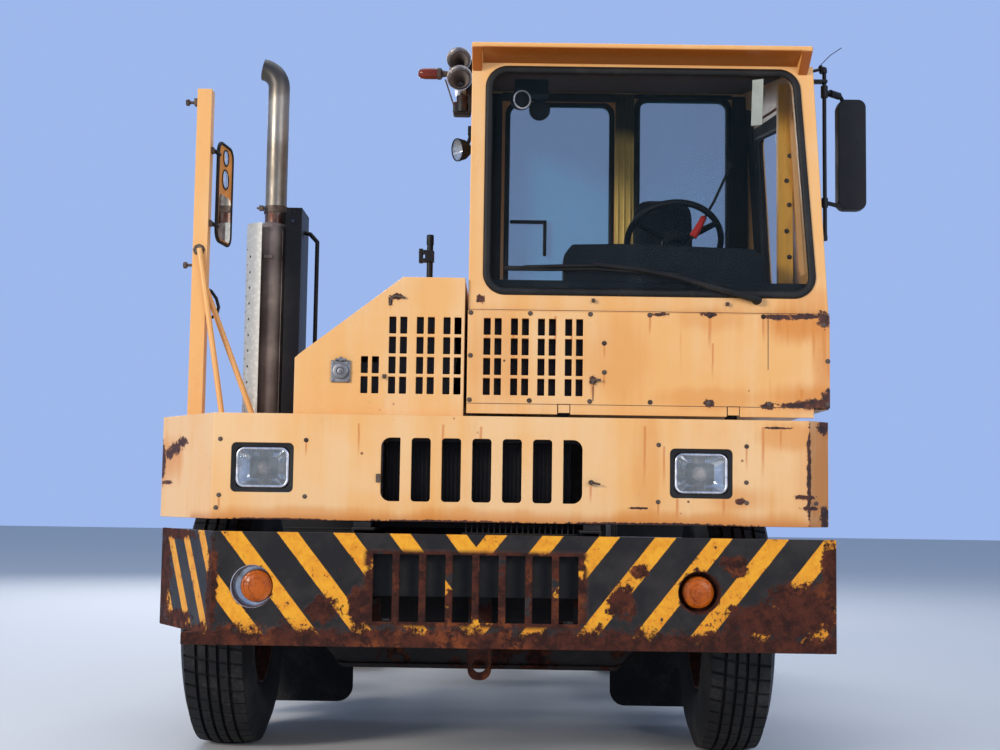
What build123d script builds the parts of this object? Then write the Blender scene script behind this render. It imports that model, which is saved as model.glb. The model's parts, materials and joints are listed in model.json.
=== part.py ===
from build123d import *
from math import atan2, cos, degrees, hypot, pi, radians, sin
import os

# A terminal tractor, in millimetres. It is drawn from its own datum, and moved at the end so that the
# origin lies on the ground under the middle of its bounding box.
#   X  across, 0 on the midplane of the chassis, + towards the driver's (left) side
#   Y  along, 0 on the front face of the bumper, + towards the rear
#   Z  up, 0 on the ground

# Running gear
FRONT_AXLE_Y = 1060.0
WHEELBASE = 2946.0
REAR_AXLE_Y = FRONT_AXLE_Y + WHEELBASE
TYRE_RADIUS = 525.0
TYRE_WIDTH = 279.0
TYRE_TREAD_WIDTH = 222.0
TYRE_INNER_RADIUS = 286.0
RIM_WIDTH = 210.0
RIM_WALL = 9.0
DISC_WALL = 14.0
DISC_FLAT = 175.0
HAND_HOLES = 8
HAND_HOLE_PITCH = 222.0
HAND_HOLE_RADIUS = 24.0
FRONT_TRACK = 2000.0
REAR_OUTER_WIDTH = 2440.0
DUAL_SPACING = 343.0
SPINDLE_RADIUS = 38.0
REAR_SPINDLE_RADIUS = 55.0
SHAFT_PLAY = 0.05
GEARBOX_REAR_Y = 1600.0
PINION_REACH = 260.0
SEAT_PLAY = 0.3
RUNNING_GAP = 8.0

# Front axle and steering
KINGPIN_X = 804.0
KINGPIN_RADIUS = 22.0
AXLE_EYE_RADIUS = 48.0
AXLE_EYE_HEIGHT = 120.0
AXLE_BEAM_WIDTH = 90.0
AXLE_BEAM_HEIGHT = 100.0
AXLE_DROP = 165.0
AXLE_DROP_X = 560.0
STEER_ARM = 190.0
STEER_ARM_Z = 400.0
AXLE_FLAT = 95.0
TIE_PIN_RADIUS = 14.0
TIE_ROD_RADIUS = 22.0
STEER_ANGLE = 30.0

# Chassis
RAIL_OUTER = 432.0
RAIL_DEPTH = 254.0
RAIL_FLANGE = 76.0
RAIL_WALL = 9.0
RAIL_TOP = 894.0
RAIL_FRONT = 40.0
RAIL_REAR = 4720.0
RAIL_BOTTOM = RAIL_TOP - RAIL_DEPTH
TAIL_SLOPE_LENGTH = 300.0
TAIL_SLOPE_DROP = 130.0

# Front bumper
BUMPER_TOP = 876.0
BUMPER_BOTTOM = 490.0
BUMPER_PLATE = 12.0
BUMPER_RETURN = 70.0
BUMPER_LEFT_END = 1233.0
BUMPER_FOLD_X = -905.0
BUMPER_CORNER_X = -1185.0
BUMPER_CORNER_BOTTOM = 520.0
BUMPER_BAR_X = -1004.0
BUMPER_BAR_TOP = 530.0
BUMPER_CORNER_Y = 468.0
BUMPER_SLOT_WIDTH = 66.0
BUMPER_SLOT_PITCH = 91.0
BUMPER_SLOT_LOW = 577.0
BUMPER_SLOT_HIGH = 806.0
BUMPER_SLOTS = 8
COOLER_LOW = 555.0
COOLER_HIGH = 870.0
BUMPER_LAMP_X = 766.0
BUMPER_LAMP_Z = 690.0
BUMPER_LAMP_HOLE = 73.0
BUMPER_LAMP_RADIUS = 58.0

# Lower fascia
COWL_FACE_Y = 90.0
COWL_TOP = 1289.0
COWL_BOTTOM = 917.0
COWL_PLATE = 10.0
COWL_FOLD_X = -930.0
COWL_CORNER_X = -1195.0
COWL_CORNER_Y = 470.0
COWL_LEFT_FOLD_X = 1160.0
COWL_LEFT_X = 1243.0
COWL_LEFT_FOLD_Y = 170.0
COWL_FLANGE = 36.0
COWL_SLOTS = 7
COWL_SLOT_WIDTH = 67.0
COWL_SLOT_PITCH = 106.5
COWL_SLOT_LOW = 987.0
COWL_SLOT_HIGH = 1209.0
COWL_SLOT_MIDDLE_X = 13.0
HEADLIGHT_LOW = 1012.0
HEADLIGHT_HIGH = 1185.0
HEADLIGHT_WIDTH = 219.0
HEADLIGHT_RIGHT_X = -756.0
HEADLIGHT_LEFT_X = 782.0
HEADLIGHT_FRAME = 14.0
HEADLIGHT_DEPTH = 55.0
HEADLIGHT_CORNER = 18.0

# Deck beside the hood and behind the cab
DECK_TOP = COWL_TOP
DECK_PLATE = 8.0
DECK_RIGHT_X = -1190.0
DECK_REAR_Y = 1400.0

# Hood beside the cab
HOOD_FACE_Y = 130.0
HOOD_REAR_Y = 1380.0
HOOD_OUTER_X = -658.0
HOOD_INNER_X = -56.0
HOOD_SHOULDER_Z = 1490.0
HOOD_TOP_Z = 1785.0
HOOD_TOP_X = -278.0
HOOD_WALL = 8.0
LOUVRE_ROWS = 4
LOUVRE_LOW = 1367.0
LOUVRE_ROW_PITCH = 71.5
LOUVRE_HEIGHT = 60.0
LOUVRE_WIDTH = 25.0
LOUVRE_PAIR = 39.0
HOOD_SLOT_X = (-324.0, -226.0, -131.0)
HOOD_LOW_SLOT_X = -422.0

# Cab
CAB_RIGHT_X = -45.0
CAB_LEFT_X = 1242.0
CAB_LEAN_Z = 1680.0
CAB_LEAN_TOP_X = 1188.0
CAB_LEAN_TOP_Z = 2600.0
CAB_FACE_Y = 150.0
CAB_REAR_Y = 1400.0
CAB_FLOOR_Z = 1332.0
CAB_WALL = 38.0
CAB_FLOOR_WALL = 30.0
ROOF_FRONT_Z = 2577.0
ROOF_REAR_Z = 2836.0
ROOF_THICKNESS = 40.0
VISOR_REACH = 100.0
VISOR_RISE = 28.0
VISOR_LIP = 17.0
VISOR_END = 38.0
VISOR_END_DROP = 34.0
PANEL_FACE_Y = 130.0
PANEL_TOP = 1668.0
PANEL_BOTTOM = 1338.0
SILL_WALL = 8.0
SILL_LEFT_X = COWL_LEFT_FOLD_X + 25.0
SILL_BOTTOM = 1301.0
PANEL_SLOT_X = (12.0, 109.0, 205.0, 302.0)
INTAKE_DEPTH = 30.0
SCREEN_BOTTOM = 1742.0
SCREEN_TOP = ROOF_FRONT_Z - 27.0
SCREEN_RIGHT_X = 32.0
SCREEN_LEFT_LOW_X = 1178.0
SCREEN_LEFT_HIGH_X = 1114.0
SCREEN_CORNER = 55.0
GLASS_WALL = 6.0
PANE_CORNER = 45.0
REAR_GLASS_LOW = 2010.0
REAR_GLASS_HIGH = ROOF_REAR_Z - 52.0
REAR_GLASS_RIGHT_X = 664.0
REAR_GLASS_LEFT_X = 1061.0
SIDE_DOOR_FRONT_Y = 530.0
SIDE_DOOR_REAR_Y = 1230.0
SIDE_DOOR_LOW = 1380.0
SIDE_DOOR_HIGH = ROOF_FRONT_Z - 37.0
DOOR_GAP = 6.0
DOOR_WALL = 30.0
DOOR_GLASS_MARGIN = 70.0
DOOR_GLASS_LOW = 1850.0
DOOR_HANDLE_Z = (1640.0, 1760.0)
QUARTER_GLASS_FRONT_Y = 230.0
QUARTER_GLASS_REAR_Y = 430.0
DOOR_PIN_RADIUS = 9.0
DOOR_PIN_OUT = 20.0
HINGE_Z = (1430.0, 1600.0)
REAR_DOOR_RIGHT_X = 30.0
REAR_DOOR_LEFT_X = 610.0
REAR_DOOR_LOW = 1375.0
REAR_DOOR_HIGH = ROOF_REAR_Z - 21.0
REAR_DOOR_WALL = 24.0
REAR_DOOR_WINDOW = (89.0, 546.0, 1900.0, ROOF_REAR_Z - 70.0)
RIGHT_GLASS = (330.0, 1200.0, 1900.0, ROOF_FRONT_Z - 107.0, ROOF_FRONT_Z + 43.0)
REAR_DOOR_TRAVEL = 520.0

# Cab tilt hinges
TILT_Y = 190.0
TILT_Z = 1345.0
TILT_X = (300.0, 900.0)
TILT_PIN_RADIUS = 12.0
TILT_EYE_RADIUS = 22.0
TILT_EYE_WIDTH = 40.0
TILT_PLAY = 3.0
TILT_BEAM_TOP = 1255.0
TILT_ANGLE = 45.0
REST_Y = 1285.0
REST_Z = 1180.0

# Exhaust
MUFFLER_X = -905.0
MUFFLER_Y = 1110.0
MUFFLER_RADIUS = 66.0
MUFFLER_TOP = 2150.0
STACK_X = -896.0
STACK_RADIUS = 46.0
STACK_WALL = 3.0
STACK_BEND_Z = 2742.0
STACK_BEND_RADIUS = 80.0
STACK_BEND_ANGLE = 80.0
SHIELD_RADIUS = 109.0
SHIELD_WALL = 3.0
SHIELD_CUT_X = -935.0
SHIELD_HOLE_RADIUS = 6.0
SHIELD_HOLE_PITCH = 66.0
SHIELD_HOLE_ANGLES = (222.0, 206.0, 190.0)
SHIELD_HOLE_ROWS = 11

# Mirror post on the right
POST_X = -1105.0
POST_Y = 620.0
POST_SIZE = 57.0
POST_TOP = 2590.0

# Flaps, tanks, steps, decks and lamps along the frame
FLAP_GAP = 150.0
FLAP_WALL = 10.0
FLAP_INNER_X = 585.0
FLAP_OUTER_X = 1190.0
FLAP_LOW = 75.0
FLAP_HIGH = 760.0
FLAP_CORNER = 70.0
TANK_FRONT_Y = 2420.0
TANK_REAR_GAP = 121.0
TANK_OUT = 30.0
TANK_REACH = 1130.0
TANK_LOW = 460.0
TANK_HIGH = 890.0
TANK_CORNER = 90.0
TANK_STRAP = 60.0
TANK_STRAP_IN = 140.0
BATTERY_REAR_Y = 3100.0
BATTERY_LOW = 520.0
BATTERY_HIGH = 900.0
STEP_OUT = 160.0
STEP_REACH = 1200.0
STEP_FRONT_Y = 1850.0
STEP_REAR_Y = 2180.0
STEP_PLATE = 30.0
STEP_Z = (480.0, 800.0)
REAR_DECK_REACH = 1190.0
REAR_DECK_FRONT_Y = 1440.0
REAR_DECK_REAR_Y = 2120.0
REAR_DECK_Z = 1100.0
REAR_DECK_PLATE = 12.0
DECK_POST = 60.0
DECK_POST_IN = 30.0
AIR_TANK_RADIUS = 85.0
AIR_TANK_GAP = 13.0
AIR_TANK_BETWEEN = 15.0
AIR_TANK_FRONT_Y = 1860.0
AIR_TANK_REAR_Y = 2390.0
AIR_TANK_Z = 720.0
TAIL_GAP = 18.0
TAIL_PLATE = 12.0
TAIL_LAMP_RADIUS = 50.0
TAIL_LAMP_DEPTH = 33.0
TAIL_LAMP_STEP = 120.0

# Engine block
ENGINE_HALF = 300.0
ENGINE_FRONT_Y = 420.0
ENGINE_REAR_Y = 1400.0
ENGINE_LOW = 620.0
ENGINE_HIGH = 1165.0
ENGINE_FOOT_UP = 50.0
GEARBOX_HALF = 200.0
GEARBOX_LOW = 560.0
GEARBOX_HIGH = 840.0

# Lift boom and coupling
BOOM_PIVOT_Y = 2250.0
BOOM_PIVOT_Z = 800.0
BOOM_PIVOT_RADIUS = 45.0
BOOM_HALF_WIDTH = 338.0
BOOM_PLATE = 30.0
BOOM_ANGLE = 14.0
BOOM_TUBE_STEP = 370.0
BOOM_TUBE_BACK = 106.0
COUPLING_Y = REAR_AXLE_Y - 200.0
COUPLING_PIN_Z = 960.0
COUPLING_PIN_RADIUS = 25.0
COUPLING_TOP = 1075.0
COUPLING_PLATE = 38.0
COUPLING_HALF_WIDTH = 457.0
COUPLING_FRONT = 330.0
COUPLING_REAR = 430.0
COUPLING_ANGLE = 14.0
KINGPIN_JAW_RADIUS = 25.6
LIFT_X = 200.0
LIFT_LOW_Y = 3130.0
LIFT_LOW_Z = 410.0
LIFT_HIGH_Y = 3200.0
LIFT_HIGH_Z = 840.0
LIFT_EYE_PLAY = 3.0
LIFT_TUBE_Y = LIFT_HIGH_Y + 110.0
LIFT_BARREL_RADIUS = 60.0
LIFT_BORE_RADIUS = 50.0
LIFT_ROD_RADIUS = 27.0
LIFT_PIN_RADIUS = 22.0
LIFT_BARREL_START = 75.0


def block(x0, x1, y0, y1, z0, z1):
    """A box given by its limits."""
    made = Box(abs(x1 - x0), abs(y1 - y0), abs(z1 - z0))
    return Pos((x0 + x1) / 2, (y0 + y1) / 2, (z0 + z1) / 2) * made


def rod_x(radius, x0, x1, y, z):
    """A cylinder along X."""
    return Pos((x0 + x1) / 2, y, z) * Rot(0, 90, 0) * Cylinder(radius, abs(x1 - x0))


def rod_y(radius, x, y0, y1, z):
    """A cylinder along Y."""
    return Pos(x, (y0 + y1) / 2, z) * Rot(90, 0, 0) * Cylinder(radius, abs(y1 - y0))


def rod_z(radius, x, y, z0, z1):
    """A cylinder along Z."""
    return Pos(x, y, (z0 + z1) / 2) * Cylinder(radius, abs(z1 - z0))


def rod_between(radius, start, end):
    """A cylinder from one point to another."""
    start, end = Vector(*start), Vector(*end)
    return Plane(origin=(start + end) * 0.5, z_dir=end - start) * Cylinder(radius, (end - start).length)


def prism_y(points, y0, y1):
    """An outline of (x, z) points, extruded along Y."""
    face = make_face(Polyline(*[(x, y0, z) for x, z in points], close=True))
    return extrude(face, amount=abs(y1 - y0), dir=(0, 1, 0))


def prism_z(points, z0, z1):
    """An outline of (x, y) points, extruded along Z."""
    face = make_face(Polyline(*[(x, y, z0) for x, y in points], close=True))
    return extrude(face, amount=abs(z1 - z0), dir=(0, 0, 1))


def prism_x(points, x0, x1):
    """An outline of (y, z) points, extruded along X."""
    face = make_face(Polyline(*[(x0, y, z) for y, z in points], close=True))
    return extrude(face, amount=abs(x1 - x0), dir=(1, 0, 0))


def fused(pieces):
    """Join pieces into one shape."""
    pieces = list(pieces)
    made = pieces[0]
    for piece in pieces[1:]:
        made = made + piece
    return made


def both_sides(piece):
    """A piece and its mirror image across the midplane."""
    return [piece, mirror(piece, about=Plane.YZ)]


def bent_plate(points, thickness, z0, z1):
    """A plate that follows (x, y) points, with its thickness behind them."""
    path = Polyline(*[(x, y, z0) for x, y in points])
    behind = offset(path, amount=thickness, side=Side.LEFT, kind=Kind.INTERSECTION)
    return extrude(make_face(behind), amount=z1 - z0, dir=(0, 0, 1))


# The cab's and the hood's outlines

def cab_left_x(z):
    """The outer face of the cab's left wall, which leans in above the waist."""
    if z <= CAB_LEAN_Z:
        return CAB_LEFT_X
    lean = (CAB_LEFT_X - CAB_LEAN_TOP_X) / (CAB_LEAN_TOP_Z - CAB_LEAN_Z)
    return CAB_LEFT_X - lean * (z - CAB_LEAN_Z)


def roof_z(y):
    """The underside of the roof, which climbs towards the rear."""
    return ROOF_FRONT_Z + (ROOF_REAR_Z - ROOF_FRONT_Z) * (y - CAB_FACE_Y) / (CAB_REAR_Y - CAB_FACE_Y)


def screen_outline(inset):
    """The corners of the windscreen's opening, drawn in by an inset."""
    return [
        (SCREEN_RIGHT_X + inset, SCREEN_BOTTOM + inset),
        (SCREEN_LEFT_LOW_X - inset, SCREEN_BOTTOM + inset),
        (SCREEN_LEFT_HIGH_X - inset, SCREEN_TOP - inset),
        (SCREEN_RIGHT_X + inset, SCREEN_TOP - inset),
    ]


def rounded_prism_y(points, radius, y0, y1):
    """An (x, z) outline with round corners, extruded along Y."""
    made = prism_y(points, y0, y1)
    return fillet(made.edges().filter_by(Axis.Y), radius)


def rounded_prism_x(points, radius, x0, x1):
    """A (y, z) outline with round corners, extruded along X."""
    made = prism_x(points, x0, x1)
    return fillet(made.edges().filter_by(Axis.X), radius)


# Chassis

def frame_rails():
    """Two channel rails, open inwards, with their crossmembers and the boom's pivot tube."""
    tail = [
        (RAIL_REAR - TAIL_SLOPE_LENGTH, RAIL_TOP),
        (RAIL_REAR + 1, RAIL_TOP - TAIL_SLOPE_DROP),
        (RAIL_REAR + 1, RAIL_TOP + 1),
    ]
    rail = block(RAIL_OUTER - RAIL_FLANGE, RAIL_OUTER, RAIL_FRONT, RAIL_REAR, RAIL_BOTTOM, RAIL_TOP)
    rail -= block(
        RAIL_OUTER - RAIL_FLANGE - 1, RAIL_OUTER - RAIL_WALL,
        RAIL_FRONT - 1, RAIL_REAR + 1, RAIL_BOTTOM + RAIL_WALL, RAIL_TOP - RAIL_WALL,
    )
    rail -= prism_x(tail, 0, RAIL_OUTER + 1)
    web = RAIL_OUTER - RAIL_WALL
    # each crossmember: front y, rear y, low z, high z
    members = [
        (60.0, 90.0, RAIL_BOTTOM + 20, RAIL_TOP - 60),
        (1700.0, 1760.0, RAIL_TOP - 110, RAIL_TOP - 10),
        (2840.0, 2900.0, RAIL_BOTTOM + 12, RAIL_BOTTOM + 90),
        (RAIL_REAR - 40, RAIL_REAR, RAIL_BOTTOM, RAIL_TOP - TAIL_SLOPE_DROP),
    ]
    pieces = both_sides(rail)
    pieces += [block(-web, web, y0, y1, z0, z1) for y0, y1, z0, z1 in members]
    pieces.append(rod_x(BOOM_PIVOT_RADIUS, -web, web, BOOM_PIVOT_Y, BOOM_PIVOT_Z))
    return fused(pieces)


def lift_bracket():
    """The crossmember that the lift cylinders push against, hung under the rails."""
    half = RAIL_OUTER - RAIL_FLANGE
    beam = block(-RAIL_OUTER, RAIL_OUTER, LIFT_LOW_Y - 50, LIFT_LOW_Y + 50, LIFT_LOW_Z - 90, LIFT_LOW_Z - 50)
    legs = both_sides(
        block(half, RAIL_OUTER, LIFT_LOW_Y - 50, LIFT_LOW_Y + 50, LIFT_LOW_Z - 60, RAIL_BOTTOM)
    )
    ears = []
    for side in (-1, 1):
        for out in (-48, 32):
            x = side * LIFT_X + out
            ears.append(block(x, x + 16, LIFT_LOW_Y - 40, LIFT_LOW_Y + 40, LIFT_LOW_Z - 60, LIFT_LOW_Z + 35))
    pins = [
        rod_x(LIFT_PIN_RADIUS, side * LIFT_X - 48, side * LIFT_X + 48, LIFT_LOW_Y, LIFT_LOW_Z)
        for side in (-1, 1)
    ]
    return fused([beam] + legs + ears + pins)


def front_bumper():
    """A folded plate with a slanted right end, slots and two lamp holes."""
    outline = [
        (BUMPER_LEFT_END, BUMPER_RETURN),
        (BUMPER_LEFT_END, 0),
        (BUMPER_FOLD_X, 0),
        (BUMPER_CORNER_X, BUMPER_CORNER_Y),
    ]
    plate = bent_plate(list(reversed(outline)), BUMPER_PLATE, BUMPER_BOTTOM, BUMPER_TOP)
    lip = block(BUMPER_FOLD_X, BUMPER_LEFT_END, 0, BUMPER_RETURN, BUMPER_BOTTOM, BUMPER_BOTTOM + BUMPER_PLATE)
    top = block(BUMPER_FOLD_X, BUMPER_LEFT_END, 0, BUMPER_RETURN / 2, BUMPER_TOP - BUMPER_PLATE, BUMPER_TOP)
    plate -= block(BUMPER_CORNER_X - 50, BUMPER_FOLD_X - 5, 0, BUMPER_CORNER_Y + 50,
                   BUMPER_BOTTOM - 1, BUMPER_CORNER_BOTTOM)
    bar = block(BUMPER_BAR_X, BUMPER_FOLD_X + 5, 0, BUMPER_RETURN, BUMPER_BOTTOM, BUMPER_BAR_TOP)
    made = plate + lip + top + bar
    first = -BUMPER_SLOT_PITCH * (BUMPER_SLOTS - 1) / 2
    for n in range(BUMPER_SLOTS):
        x = first + n * BUMPER_SLOT_PITCH
        made -= block(
            x - BUMPER_SLOT_WIDTH / 2, x + BUMPER_SLOT_WIDTH / 2,
            -1, BUMPER_PLATE + 1, BUMPER_SLOT_LOW, BUMPER_SLOT_HIGH,
        )
    for side in (-1, 1):
        made -= rod_y(BUMPER_LAMP_HOLE, side * BUMPER_LAMP_X, -1, BUMPER_PLATE + 1, BUMPER_LAMP_Z)
    return made


def bumper_mounts():
    """Two brackets that hold the bumper on the rails' front ends."""
    reach = block(RAIL_OUTER, RAIL_OUTER + 60, BUMPER_PLATE, 260, RAIL_BOTTOM + 30, BUMPER_TOP - 40)
    return both_sides(reach)


def bumper_lamps():
    """Round lamps in cups behind the bumper's holes."""
    made = []
    for side in (-1, 1):
        x = side * BUMPER_LAMP_X
        cup = rod_y(BUMPER_LAMP_HOLE + 8, x, BUMPER_PLATE, BUMPER_PLATE + 50, BUMPER_LAMP_Z)
        cup -= rod_y(BUMPER_LAMP_HOLE, x, BUMPER_PLATE - 1, BUMPER_PLATE + 40, BUMPER_LAMP_Z)
        lens = rod_y(BUMPER_LAMP_RADIUS, x, BUMPER_PLATE + 10, BUMPER_PLATE + 42, BUMPER_LAMP_Z)
        made.append(cup + lens)
    return made


def tow_lug():
    """A thick plate with an eye, under the middle of the bumper."""
    plate = block(-30, 55, 288, 318, 350, RAIL_BOTTOM + 60)
    plate = fillet(plate.edges().filter_by(Axis.Y).group_by(Axis.Z)[0], 38)
    plate -= rod_y(24, 12.5, 280, 330, 400)
    bar = block(-(RAIL_OUTER - RAIL_WALL), RAIL_OUTER - RAIL_WALL, 318, 378, RAIL_BOTTOM + 10, RAIL_BOTTOM + 70)
    return plate + bar


def front_cowl():
    """The lower fascia: a folded plate with slots, headlight holes and a top ledge."""
    outline = [
        (COWL_LEFT_X, 450),
        (COWL_LEFT_X, COWL_LEFT_FOLD_Y),
        (COWL_LEFT_FOLD_X, COWL_FACE_Y),
        (COWL_FOLD_X, COWL_FACE_Y),
        (COWL_CORNER_X, COWL_CORNER_Y),
    ]
    made = bent_plate(list(reversed(outline)), COWL_PLATE, COWL_BOTTOM, COWL_TOP)
    made += block(COWL_FOLD_X, COWL_LEFT_FOLD_X, COWL_FACE_Y, COWL_FACE_Y + COWL_FLANGE,
                  COWL_TOP - DECK_PLATE, COWL_TOP)
    middle = (COWL_SLOTS - 1) / 2
    for n in range(COWL_SLOTS):
        x = COWL_SLOT_MIDDLE_X + (n - middle) * COWL_SLOT_PITCH
        half = COWL_SLOT_WIDTH / 2
        hole = block(x - half, x + half, COWL_FACE_Y - 1, COWL_FACE_Y + COWL_PLATE + 1,
                     COWL_SLOT_LOW, COWL_SLOT_HIGH)
        ends = {0: 0, COWL_SLOTS - 1: 1}
        if n in ends:
            edges = hole.edges().filter_by(Axis.Y)
            chosen = edges.sort_by(Axis.X)[-2:] if ends[n] else edges.sort_by(Axis.X)[:2]
            hole = fillet(chosen, half)
        else:
            hole = fillet(hole.edges().filter_by(Axis.Y), 12)
        made -= hole
    for x in (HEADLIGHT_RIGHT_X, HEADLIGHT_LEFT_X):
        hole = block(x - HEADLIGHT_WIDTH / 2, x + HEADLIGHT_WIDTH / 2,
                     COWL_FACE_Y - 1, COWL_FACE_Y + COWL_PLATE + 1, HEADLIGHT_LOW, HEADLIGHT_HIGH)
        made -= fillet(hole.edges().filter_by(Axis.Y), HEADLIGHT_CORNER)
    return made


def tilt_pocket(x):
    """The room in the cab's floor for one tilt hinge."""
    half = TILT_EYE_WIDTH / 2 + TILT_PLAY
    return block(x - half, x + half, PANEL_FACE_Y - 1, TILT_Y + 40, CAB_FLOOR_Z - 1, TILT_Z + 36)


def cab_mounts():
    """Uprights on the rails, the front beam with the tilt hinges' eyes, and the rear rest."""
    low = TILT_BEAM_TOP - 55
    uprights = both_sides(
        block(RAIL_OUTER - 60, RAIL_OUTER, COWL_FACE_Y + COWL_PLATE, TILT_Y + 25, RAIL_TOP, low)
    )
    beam = block(-RAIL_OUTER, CAB_LEFT_X - 70, TILT_Y - 25, TILT_Y + 25, low, TILT_BEAM_TOP)
    pieces = uprights + [beam]
    for x in TILT_X:
        half = TILT_EYE_WIDTH / 2
        leg = block(x - half, x + half, TILT_Y - 14, TILT_Y + 14, TILT_BEAM_TOP - 5, TILT_Z)
        eye = rod_x(TILT_EYE_RADIUS, x - half, x + half, TILT_Y, TILT_Z)
        pieces.append(leg + eye - rod_x(TILT_PIN_RADIUS + SHAFT_PLAY, x - half - 1, x + half + 1, TILT_Y, TILT_Z))
    rest = block(-RAIL_OUTER, CAB_LEFT_X - 70, REST_Y, REST_Y + 60, REST_Z, REST_Z + 60)
    pad = block(CAB_RIGHT_X, CAB_LEFT_X - 70, REST_Y, REST_Y + 60, REST_Z + 55, CAB_FLOOR_Z - SEAT_PLAY)
    posts = both_sides(block(RAIL_OUTER - 60, RAIL_OUTER, REST_Y, REST_Y + 60, RAIL_TOP, REST_Z))
    return [fused(pieces), fused([rest, pad] + posts)]


def headlights():
    """Rectangular lamps set in the fascia's openings."""
    made = []
    inset = SEAT_PLAY
    for x in (HEADLIGHT_RIGHT_X, HEADLIGHT_LEFT_X):
        half = HEADLIGHT_WIDTH / 2 - inset
        case = block(x - half, x + half, COWL_FACE_Y - 2, COWL_FACE_Y + HEADLIGHT_DEPTH,
                     HEADLIGHT_LOW + inset, HEADLIGHT_HIGH - inset)
        case = fillet(case.edges().filter_by(Axis.Y), HEADLIGHT_CORNER)
        recess = block(x - half + HEADLIGHT_FRAME, x + half - HEADLIGHT_FRAME,
                       COWL_FACE_Y - 3, COWL_FACE_Y + 6,
                       HEADLIGHT_LOW + inset + HEADLIGHT_FRAME, HEADLIGHT_HIGH - inset - HEADLIGHT_FRAME)
        made.append(case - recess)
    return made


def deck():
    """The plate beside the hood, with a skirt along its outer edge and two bearers to the rail."""
    slope = (COWL_FOLD_X - COWL_CORNER_X) / (COWL_CORNER_Y - COWL_FACE_Y)
    inside = (COWL_PLATE + SEAT_PLAY) * hypot(1, slope)
    front = COWL_FACE_Y + COWL_FLANGE + SEAT_PLAY
    corner = COWL_CORNER_Y + COWL_PLATE
    outline = [
        (HOOD_INNER_X, front),
        (HOOD_INNER_X, DECK_REAR_Y),
        (DECK_RIGHT_X, DECK_REAR_Y),
        (DECK_RIGHT_X, corner),
        (COWL_FOLD_X - slope * (corner - COWL_FACE_Y) + inside, corner),
        (COWL_FOLD_X - slope * (front - COWL_FACE_Y) + inside, front),
    ]
    plate = prism_z(outline, DECK_TOP - DECK_PLATE, DECK_TOP)
    skirt = block(DECK_RIGHT_X, DECK_RIGHT_X + DECK_PLATE, corner, DECK_REAR_Y,
                  DECK_TOP - 90, DECK_TOP - DECK_PLATE)
    bearers = [
        block(DECK_RIGHT_X + DECK_PLATE, -RAIL_OUTER, y, y + 50, DECK_TOP - 70, DECK_TOP - DECK_PLATE)
        for y in (520.0, DECK_REAR_Y - 50)
    ]
    legs = [
        block(-RAIL_OUTER, -RAIL_OUTER + 60, y, y + 50, RAIL_TOP, DECK_TOP - DECK_PLATE)
        for y in (520.0, DECK_REAR_Y - 50)
    ]
    return fused([plate, skirt] + bearers + legs)


def louvre_cells(columns, row_from, row_to, y0, y1):
    """Cutting blocks for rows of upright slots in pairs; columns holds each pair's lower x."""
    cells = []
    starts = [x + step for x in columns for step in (0, LOUVRE_PAIR)]
    for row in range(row_from, row_to):
        z = LOUVRE_LOW + row * LOUVRE_ROW_PITCH
        cells += [block(x, x + LOUVRE_WIDTH, y0, y1, z, z + LOUVRE_HEIGHT) for x in starts]
    return cells


def hood():
    """The engine's cover beside the cab, open below, with slots in its front."""
    outline = [
        (HOOD_OUTER_X, DECK_TOP),
        (HOOD_INNER_X, DECK_TOP),
        (HOOD_INNER_X, HOOD_TOP_Z),
        (HOOD_TOP_X, HOOD_TOP_Z),
        (HOOD_OUTER_X + 25, HOOD_SHOULDER_Z + 22),
        (HOOD_OUTER_X, HOOD_SHOULDER_Z),
    ]
    inside = [
        (HOOD_OUTER_X + HOOD_WALL, DECK_TOP - 1),
        (HOOD_INNER_X - HOOD_WALL, DECK_TOP - 1),
        (HOOD_INNER_X - HOOD_WALL, HOOD_TOP_Z - HOOD_WALL),
        (HOOD_TOP_X + 3, HOOD_TOP_Z - HOOD_WALL),
        (HOOD_OUTER_X + 29, HOOD_SHOULDER_Z + 16),
        (HOOD_OUTER_X + HOOD_WALL, HOOD_SHOULDER_Z - 4),
    ]
    made = prism_y(outline, HOOD_FACE_Y, HOOD_REAR_Y)
    made -= prism_y(inside, HOOD_FACE_Y + HOOD_WALL, HOOD_REAR_Y - HOOD_WALL)
    inside_y = HOOD_FACE_Y + HOOD_WALL + 1
    cells = louvre_cells(HOOD_SLOT_X, 0, LOUVRE_ROWS, HOOD_FACE_Y - 1, inside_y)
    cells += louvre_cells([HOOD_LOW_SLOT_X], 0, 2, HOOD_FACE_Y - 1, inside_y)
    for cell in cells:
        made -= cell
    return made


def radiator():
    """The radiator behind the fascia's slots, and the flat cooler between the rails."""
    core = block(-330, 330, 235, 335, RAIL_TOP + 20, 1270)
    foot = block(-RAIL_OUTER, RAIL_OUTER, 245, 325, RAIL_TOP, RAIL_TOP + 21)
    reach = RAIL_OUTER - RAIL_FLANGE - SEAT_PLAY
    cooler = block(-reach, reach, 384, 414, COOLER_LOW, COOLER_HIGH)
    return [core + foot, cooler]


def engine_block():
    """Engine and gearbox as one plain block, in its real place."""
    engine = block(-ENGINE_HALF, ENGINE_HALF, ENGINE_FRONT_Y, ENGINE_REAR_Y, ENGINE_LOW, ENGINE_HIGH)
    gearbox = block(-GEARBOX_HALF, GEARBOX_HALF, ENGINE_REAR_Y - 10, GEARBOX_REAR_Y, GEARBOX_LOW, GEARBOX_HIGH)
    reach = RAIL_OUTER - RAIL_WALL - SEAT_PLAY
    low = RAIL_BOTTOM + ENGINE_FOOT_UP
    feet = [block(-reach, reach, y, y + 80, low, low + 60) for y in (ENGINE_FRONT_Y + 180, ENGINE_REAR_Y - 180)]
    return fused([engine, gearbox] + feet)


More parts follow.
